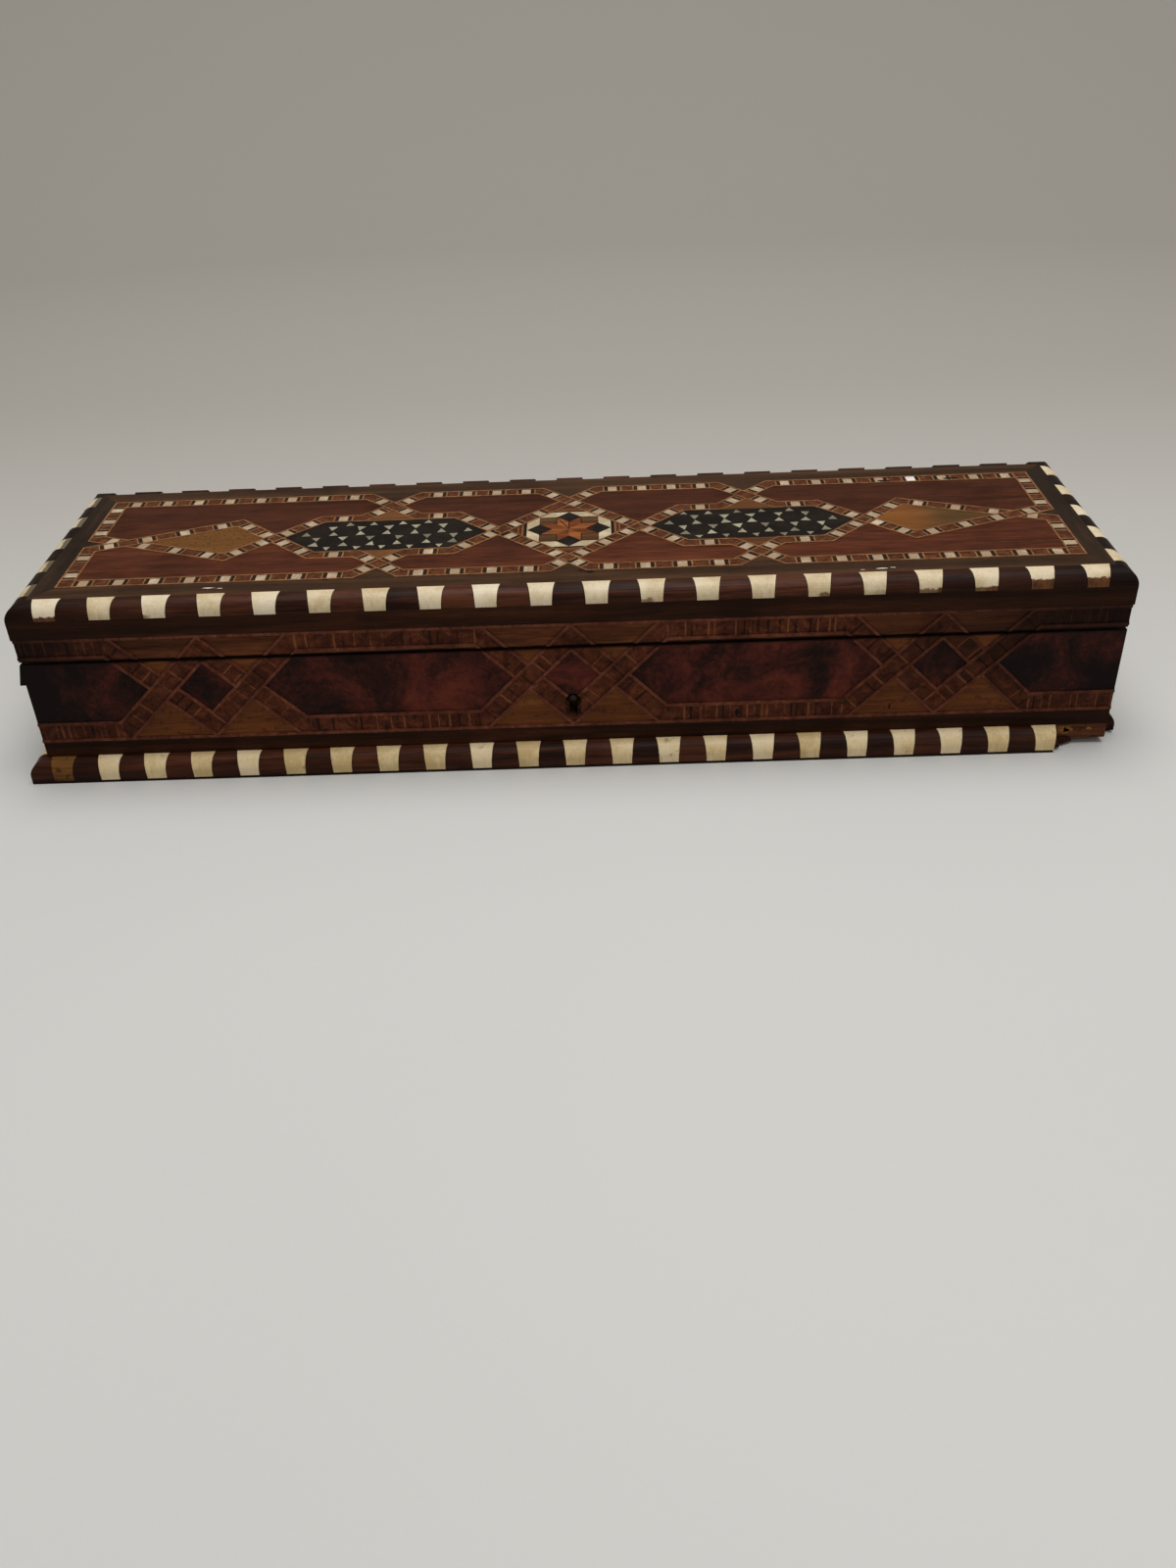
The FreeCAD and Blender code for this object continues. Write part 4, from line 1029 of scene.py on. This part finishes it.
def rosewood_blocks(name, body, edging, rows, ends, seed):
    """The blocks between the bones of each row; ends says where a row stops short of its mitre."""
    dice = random.Random(seed)
    mesh = bmesh.new()
    tone = mesh.faces.layers.float.new("tone")
    for index, row in enumerate(rows):
        edges = block_edges(row, *ends.get(index, (None, None)))
        for start, end in zip(edges[0::2], edges[1::2]):
            if edge_place(end, edging, 0, 0) - edge_place(start, edging, 0, 0) < block_joint:
                continue
            swell = dice.uniform(*block_swell_shares) * bone_proud
            rings = [block_ring(mesh, row, edging, edge, swell) for edge in (start, end)]
            shade = dice.random()
            for face in closed_skin(mesh, rings):
                face[tone] = shade
    bmesh.ops.recalc_face_normals(mesh, faces=mesh.faces)
    return new_piece(name, mesh, body, edge_rosewood)


def bone_spots(rows, rear_sink=0.0):
    """A spot for every bone; those at the back may sit lower than their blocks."""
    spots = []
    for row in rows:
        along = row.turn @ along_box
        sink = rear_sink if along.x < -0.5 else 0.0
        for centre in row.centres:
            place = row.turn @ Vector((centre, sink - row.reach, row.low - sink))
            spots.append(spot(place, along, up))
    return spots


def bones(name, body, slot, edging, spots, material, seed):
    """Keystones of one edging on a list of spots."""
    sizes = {"foot": edging.foot, "head": edging.head, "upright": edging.upright, "rounding": edging.rounding}
    return grown(name, body, slot, keystones, spots, flat=edging.width - edging.rounding,
                 looseness=bone_looseness_share, seed=seed, material=material, **sizes)


lid_low, lid_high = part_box("lid_edge_bone_blocks")
lid_edging = Edging(edge_width, 0.0, lid_high.z - lid_low.z, edge_bone_foot, edge_bone_head)
lid_rows = bone_rows(["lid_edge_bone_blocks"], "lid_edge_rosewood_blocks", lid_edging)
lid_blocks = rosewood_blocks("lid_rosewood_blocks", "lid", lid_edging, lid_rows, ends={}, seed=11)
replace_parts(lid_blocks, "lid_edge_rosewood_blocks")
lid_spots = bone_spots(lid_rows, rear_bone_sink)
lid_bones = bones("lid_bone_keystones", "lid", "bone", lid_edging, lid_spots, lid_bone, seed=3)
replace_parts(lid_bones, "lid_edge_bone_blocks")

plinth_low, plinth_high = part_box("plinth_rosewood_blocks")
plinth_upright = plinth_high.z - plinth_low.z - plinth_rounding
plinth_edging = Edging(plinth_width, plinth_upright, plinth_rounding, plinth_bone_foot, plinth_bone_head)
plinth_bone_nodes = ["plinth_bone_blocks", "plinth_filler_block"]
plinth_rows = bone_rows(plinth_bone_nodes, "plinth_rosewood_blocks", plinth_edging)
break_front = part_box("plinth_front_footing")[1].x
break_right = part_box("plinth_right_footing")[0].y
last_bone = plinth_rows[0].centres[-1]
plinth_ends = {0: (None, last_bone), 1: (break_right, None)}
plinth_blocks = rosewood_blocks("plinth_rosewood_blocks_dressed", "case", plinth_edging, plinth_rows,
                                plinth_ends, seed=12)
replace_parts(plinth_blocks, "plinth_rosewood_blocks")
filler_spot, *plinth_spots = bone_spots(plinth_rows)
plinth_bones = bones("plinth_bone_keystones", "case", "old_bone", plinth_edging, plinth_spots,
                     plinth_bone, seed=5)
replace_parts(plinth_bones, "plinth_bone_blocks")
filler = bones("plinth_tan_filler", "case", "tan_wood", plinth_edging, [filler_spot], filler_wood, seed=6)
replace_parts(filler, "plinth_filler_block")

# Thin inlay let into a surface


def let_in(place, along, out, length, width):
    """A spot for a thin plate that stands just proud of the surface under it."""
    sunk = place + out * (inlay_proud - inlay_thickness / 2)
    return spot(sunk, along, out, (length, width, inlay_thickness))


def plate_on(surface, place, along, out, length, width):
    """A list with a spot for a thin plate, or an empty one where the surface doesn't carry all of it."""
    half_length = along * (length * seat_share / 2)
    half_width = out.cross(along) * (width * seat_share / 2)
    corners = [place + half_length * one + half_width * other for one in (-1, 1) for other in (-1, 1)]
    return [let_in(place, along, out, length, width)] if lies_on(surface, corners, out) else []


def plates(name, body, slot, material, spots, seed):
    """Oblong plates: on each spot a square whose side is 1, drawn out to the spot's size."""
    return grown(name, body, slot, inlay, spots, sides=4, radius=unit_square_radius, spin=eighth_turn,
                 seed=seed, material=material)


# Ebony slips and hairlines beside the bone slips of the top

top_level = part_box("lid_strap_bone_slips")[1].z
top_surface = surface_of("lid_strap_rosewood_slips")


def top_corners(corners):
    return [point for point in corners if point.z > top_level - level_margin]


def strap_way(corners):
    """The direction along the strap of a bone slip: the one that best fits its length and its width."""
    flat = top_corners(corners)
    best_miss, best_way = math.inf, None
    for one in flat:
        for other in flat:
            if (other - one).length < shortest_edge:
                continue
            way = (other - one).normalized()
            lengthwise = [point.dot(way) for point in flat]
            widthwise = [point.dot(up.cross(way)) for point in flat]
            miss = abs(max(lengthwise) - min(lengthwise) - top_slip_length)
            miss += abs(max(widthwise) - min(widthwise) - top_slip_width)
            if miss < best_miss:
                best_miss, best_way = miss, way
    return best_way


def slip_of(corners):
    """The middle of a bone slip's top and the direction along its strap."""
    centre = middle(corners)
    centre.z = top_level
    return centre, strap_way(corners)


def beside_slips(distance, length):
    """Spots for plates at a distance to both sides of every bone slip, where the strap carries them."""
    spots = []
    for centre, way in top_slips:
        for side in (-1, 1):
            spots += plate_on(top_surface, centre + way * (side * distance), way, up, length, top_slip_width)
    return spots


top_slips = [slip_of(corners) for corners in solid_parts("lid_strap_bone_slips")]
ebony_distance = (top_slip_length + ebony_slip_length) / 2
hairline_distance = top_slip_length / 2 + ebony_slip_length + hairline_length / 2
ebony_spots = beside_slips(ebony_distance, ebony_slip_length)
hairline_spots = beside_slips(hairline_distance, hairline_length)
plates("strap_ebony_slips", "lid", "ebony", strap_ebony, ebony_spots, seed=7)
plates("strap_hairlines", "lid", "stringing_wood", hairline_wood, hairline_spots, seed=8)

# Bone triangles in the mastic of the hexagons

TriangleRow = collections.namedtuple("TriangleRow", "height points_up shift_share size_share")
triangle_rows = [
    TriangleRow(triangle_row + triangle_apart, -1, 0.0, 1),
    TriangleRow(triangle_row - triangle_apart, 1, 0.0, 1),
    TriangleRow(triangle_apart - triangle_row, -1, 0.5, 1),
    TriangleRow(-triangle_apart - triangle_row, 1, 0.5, 1),
    TriangleRow(edge_triangle_row, 1, 0.5, edge_triangle_share),
    TriangleRow(-edge_triangle_row, -1, 0.0, edge_triangle_share),
]
hexagon_surface = surface_of("lid_hexagon_grounds")


def triangle_on(place, row, dice):
    """A list with a spot for one uneven triangle, or an empty one where it would leave the mastic."""
    turn = row.points_up * quarter_turn + dice.uniform(-1, 1) * triangle_stray_turn
    radius = triangle_side / math.sqrt(3) * row.size_share
    tall = radius * dice.uniform(*triangle_tall_shares)
    wide = radius * dice.uniform(*triangle_wide_shares)
    along = Vector((math.cos(turn), math.sin(turn), 0))
    half_base = up.cross(along) * (wide * math.sin(full_turn / 3))
    tips = [place + along * tall] + [place - along * (tall / 2) + half_base * side for side in (-1, 1)]
    return [let_in(place, along, up, tall, wide)] if lies_on(hexagon_surface, tips, up) else []


dice = random.Random(triangle_seed)
triangle_spots = []
for corners in solid_parts("lid_hexagon_grounds"):
    centre = middle(corners)
    low_x, high_x = span(corners, 0)
    columns = int((high_x - low_x) / triangle_pitch) + 1
    for row in triangle_rows:
        for column in range(-columns, columns + 1):
            x = centre.x + (column + row.shift_share) * triangle_pitch
            x += dice.uniform(-1, 1) * triangle_stray_along
            y = centre.y + row.height + dice.uniform(-1, 1) * triangle_stray_across
            triangle_spots += triangle_on(Vector((x, y, top_level)), row, dice)
grown("hexagon_bone_triangles", "lid", "bone", inlay, triangle_spots, sides=3, radius=1.0, spin=0.0, seed=9,
      material=triangle_bone)

# Stringing of the front and the ends, worn into low ridges


def raised_lines(name, node, body):
    """A copy of a node's stringing whose outer faces stand a little further out."""
    mesh = bmesh.new()
    mesh.from_mesh(nodes[node].data)
    bmesh.ops.remove_doubles(mesh, verts=mesh.verts, dist=merge_distance)
    low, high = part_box(node)
    for vert in mesh.verts:
        if vert.co.y < low.y + merge_distance:
            vert.co.y -= line_raise
        if vert.co.x < low.x + merge_distance:
            vert.co.x -= line_raise
        if vert.co.x > high.x - merge_distance:
            vert.co.x += line_raise
    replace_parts(new_piece(name, mesh, body, side_line_wood), node)


raised_lines("case_ridges", "case_stringing", "case")
raised_lines("lid_ridges", "lid_side_stringing", "lid")

# Thin bars across the straps of the front and the ends

Side = collections.namedtuple("Side", "corner across out half motifs")
pattern_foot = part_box("case_stringing")[0].z
pattern_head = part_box("lid_side_stringing")[1].z
band_low, band_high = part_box("case_strap_bands")
sides = [
    Side(Vector((0, band_low.y, 0)), along_box, -toward_back, band_high.x, front_motifs),
    Side(Vector((band_low.x, 0, 0)), toward_back, -along_box, band_high.y, end_motifs),
    Side(Vector((band_high.x, 0, 0)), toward_back, along_box, band_high.y, end_motifs),
]
side_surfaces = {"case": surface_of("case_strap_bands"), "lid": surface_of("lid_side_straps")}


def side_runs(half, motifs):
    """The straight runs of a side's two straps, in distances along it and heights."""
    drop = side_strap_width / math.sqrt(2)
    low, high = pattern_foot + side_strap_width / 2, pattern_head - side_strap_width / 2
    peak, dip = pattern_head - drop, pattern_foot + drop
    rising, falling = [(-half, low)], [(-half, high)]
    for index in range(motifs):
        centre = side_motif_pitch * (index - (motifs - 1) / 2)
        start, end = centre + low - peak, centre + peak - low
        rising += [(start, low), (centre, peak), (end, low)]
        falling += [(start, high), (centre, dip), (end, high)]
    runs = []
    for path in (rising + [(half, low)], falling + [(half, high)]):
        points = [Vector(point) for point in path]
        runs += list(zip(points, points[1:]))
    return runs


def is_covered(point, run, runs):
    """Whether a run that climbs to the right passes over this point of another run."""
    for start, end in runs:
        way = (end - start).normalized()
        if (start, end) == run or way.x * way.y <= 0:
            continue
        apart = point - start
        inside = 0 < apart.dot(way) < (end - start).length
        if inside and abs(way.x * apart.y - way.y * apart.x) < side_strap_width / 2:
            return True
    return False


dice = random.Random(bar_seed)
bar_spots = {"case": [], "lid": []}
for side in sides:
    runs = side_runs(side.half, side.motifs)
    for run in runs:
        start, end = run
        length = (end - start).length
        way = (end - start) / length
        is_level = abs(way.y) < abs(way.x) / 2
        along = side.across * way.x + up * way.y
        pitch = level_bar_pitch if is_level else side_bar_pitch
        distance = pitch / 2
        while distance < length:
            point = start + way * distance
            distance += pitch * dice.uniform(*bar_pitch_shares)
            width = side_bar_width * dice.uniform(*bar_width_shares)
            if is_covered(point, run, runs):
                continue
            place = side.corner + side.across * point.x + up * point.y
            for body, surface in side_surfaces.items():
                bar_spots[body] += plate_on(surface, place, along, side.out, width, side_core_width)
for body, spots in bar_spots.items():
    plates(body + "_strap_bars", body, "strap_wood", bar_wood, spots, seed=10)

# Dark joints round the rhombs of the star

joint_spots = []
for corners in solid_parts("star_orange_rhombs"):
    flat = top_corners(corners)
    centre = middle(flat)
    flat.sort(key=lambda point: math.atan2(point.y - centre.y, point.x - centre.x))
    for one, other in zip(flat, flat[1:] + flat[:1]):
        way = other - one
        joint_spots.append(let_in((one + other) / 2, way.normalized(), up, way.length, star_joint_width))
plates("star_joints", "lid", "ebony", ebony, joint_spots, seed=13)

# Losses and scuffs


def flakes(name, body, material, origin, out, marks, seed):
    """Thin ragged patches on a surface, each placed along the box and across it from an origin."""
    dice = random.Random(seed)
    across = out.cross(along_box)
    mesh = bmesh.new()
    for mark in marks:
        place = origin + along_box * mark.along + across * mark.across
        rings = [[], []]
        for index in range(flake_corners):
            angle = full_turn * index / flake_corners
            reach = dice.uniform(*flake_reach_shares) / 2
            flat = along_box * (mark.length * reach * math.cos(angle))
            flat += across * (mark.width * reach * math.sin(angle))
            for ring, height in zip(rings, (flake_proud - flake_thickness, flake_proud)):
                ring.append(mesh.verts.new(place + flat + out * height))
        closed_skin(mesh, rings)
    bmesh.ops.recalc_face_normals(mesh, faces=mesh.faces)
    new_piece(name, mesh, body, material)


board_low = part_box("base_board")[0]
top_origin = Vector((0, 0, top_level))
front_origin = Vector((0, band_low.y, 0))
break_origin = Vector((break_front, board_low.y, board_low.z))
flakes("lid_losses", "lid", ebony, top_origin, up, lid_losses, seed=51)
flakes("lid_scuffs", "lid", scuff_white, top_origin, up, lid_scuffs, seed=52)
slip_centre, slip_way = min(top_slips, key=lambda slip: (slip[0] - white_slip_place).xy.length)
white_slip = let_in(slip_centre, slip_way, up, top_slip_length, top_slip_width)
plates("white_strap_slip", "lid", "bone", new_bone, [white_slip], seed=14)
flakes("front_losses", "case", ebony, front_origin, -toward_back, front_losses, seed=53)
flakes("raw_break_patches", "case", fresh_wood, break_origin, -toward_back, raw_patches,
       seed=54)

# The stump of the broken moulding

stump_mesh = bmesh.new()
for stump in stumps:
    low_corner = Vector((last_bone, board_low.y - stump.depth, plinth_low.z))
    high_corner = Vector((break_front + stump.length, board_low.y, plinth_low.z + stump.rise))
    centred = Matrix.Translation((low_corner + high_corner) / 2)
    sized = Matrix.Diagonal(high_corner - low_corner).to_4x4()
    block = bmesh.ops.create_cube(stump_mesh, size=1, matrix=centred @ sized)
    for vert in block["verts"]:
        if vert.co.x > break_front and vert.co.y < board_low.y - level_margin:
            vert.co.x -= stump.length * stump_slant_share
new_piece("plinth_stump", stump_mesh, "case", rosewood)

# The strip of lifted veneer

dice = random.Random(veneer_seed)
veneer_mesh = bmesh.new()
rings = []
for step in range(veneer_steps + 1):
    drop = step / veneer_steps
    height = seam_low - block_joint - veneer_height * drop
    lift = block_joint + veneer_lift * drop
    back = band_low.y + veneer_reach * (1 - drop / 2) * dice.uniform(*veneer_ragged_shares)
    outline = [(0, band_low.y), (-lift, band_low.y), (-lift * veneer_tail_share, back), (0, back)]
    rings.append([veneer_mesh.verts.new((band_low.x + out, y, height)) for out, y in outline])
closed_skin(veneer_mesh, rings[::-1])
bmesh.ops.recalc_face_normals(veneer_mesh, faces=veneer_mesh.faces)
new_piece("lifted_veneer", veneer_mesh, "case", burl_wood)

# Screws


def screw_set(name, body, places, out, radius, seed):
    """Slotted screws of one size that face one way."""
    spots = [spot(place, along_box, out) for place in places]
    grown(name, body, "brass", screws, spots, radius=radius, height=screw_height, seed=seed, material=brass)


plate_low, plate_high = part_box("lock_plate")
lock_places = [
    Vector((x, plate_high.y, z))
    for x in (plate_low.x + screw_inset, plate_high.x - screw_inset)
    for z in (plate_low.z + screw_inset, plate_high.z - 2 * screw_inset)
]
screw_set("lock_screws", "case", lock_places, toward_back, screw_radius, seed=41)

catch_low, catch_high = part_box("catch_plate")
catch_y = (catch_low.y + catch_high.y) / 2
lid_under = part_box("lid_front_rail")[0].z
catch_places = [
    Vector((x, catch_y, lid_under))
    for x in (catch_low.x + screw_inset, catch_high.x - screw_inset)
]
screw_set("catch_screws", "lid", catch_places, -up, screw_radius, seed=42)

hinge_seats = {"case": (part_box("case_back_wall")[1].z, up), "lid": (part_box("lid_back_rail")[0].z, -up)}
for body, (level, out) in hinge_seats.items():
    hinge_places = []
    for hand in ("left", "right"):
        leaf_low, leaf_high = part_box("hinge_" + hand + "_" + body + "_leaf")
        x = (leaf_low.x + leaf_high.x) / 2
        y = leaf_low.y + screw_radius
        hinge_places += [Vector((x + side * hinge_screw_reach, y, level)) for side in (-1, 1)]
    screw_set(body + "_hinge_screws", body, hinge_places, out, small_screw_radius, seed=43)

# Floor, light and camera


def make_floor():
    """A pale bowl: flat under the box, and bent up into a wall all round it."""
    profile = [(flat_radius, 0.0)]
    for step in range(1, bend_steps + 1):
        angle = quarter_turn * step / bend_steps
        profile.append((flat_radius + bend_radius * math.sin(angle), bend_radius * (1 - math.cos(angle))))
    profile.append((flat_radius + bend_radius, wall_height))
    turns = [full_turn * index / bowl_sides for index in range(bowl_sides)]
    mesh = bmesh.new()
    rings = []
    for reach, height in profile:
        places = [(reach * math.cos(turn), bowl_middle + reach * math.sin(turn), height) for turn in turns]
        rings.append([mesh.verts.new(place) for place in places])
    mesh.faces.new(rings[0])
    for face in skin(mesh, rings):
        face.smooth = True
    data = bpy.data.meshes.new("floor")
    mesh.to_mesh(data)
    mesh.free()
    data.materials.append(pale_floor())
    linked("floor", data)


def pale_floor():
    """Plain pale paint, with painted shade that darkens the wall behind the box."""
    graph = new_material("pale_floor")
    place = graph.place()
    x, y, z = graph.axes(place)
    near = graph.shaded(graph.noise(place, floor_cloud_width), floor_ramp_shares, floor_shades)
    colour = graph.mix((y + z).between(*wall_shade_fade), near, paint(*painted_wall_shade))
    grain = graph.bump(graph.noise(place, floor_grain_width), 0.05, floor_grain_depth)
    return finish_material(graph, colour, 0.7, grain, specular=0.2)


def make_light():
    world = bpy.data.worlds.new("soft_room")
    world.use_nodes = True
    background = world.node_tree.nodes["Background"]
    background.inputs["Color"].default_value = room_colour
    background.inputs["Strength"].default_value = room_strength
    bpy.context.scene.world = world
    for lamp in lamps:
        light = bpy.data.lights.new(lamp.name, "AREA")
        light.shape = "RECTANGLE"
        light.size, light.size_y = lamp.size
        light.energy = lamp.power
        item = linked(lamp.name, light)
        item.location = lamp.place
        item.rotation_euler = (lamp.aim - lamp.place).to_track_quat("-Z", "Y").to_euler()


def make_camera():
    """The camera of the photograph: pitch and yaw first, then roll about its own line of sight."""
    ahead = Vector((
        math.sin(camera_yaw) * math.cos(camera_pitch),
        math.cos(camera_yaw) * math.cos(camera_pitch),
        -math.sin(camera_pitch),
    ))
    right = Vector((math.cos(camera_yaw), -math.sin(camera_yaw), 0))
    down = ahead.cross(right)
    rolled_right = right * math.cos(camera_roll) + down * math.sin(camera_roll)
    rolled_down = down * math.cos(camera_roll) - right * math.sin(camera_roll)
    lens = bpy.data.cameras.new("camera")
    lens.sensor_width = camera_sensor
    lens.lens = camera_sensor * camera_focal_pixels / picture_height
    lens.clip_start = camera_clip_start
    camera = linked("camera", lens)
    axes = Matrix((rolled_right, -rolled_down, -ahead)).transposed()
    camera.matrix_world = Matrix.Translation(camera_place) @ axes.to_4x4()
    bpy.context.scene.camera = camera


make_floor()
make_light()
make_camera()
bpy.context.scene.view_settings.view_transform = "Standard"
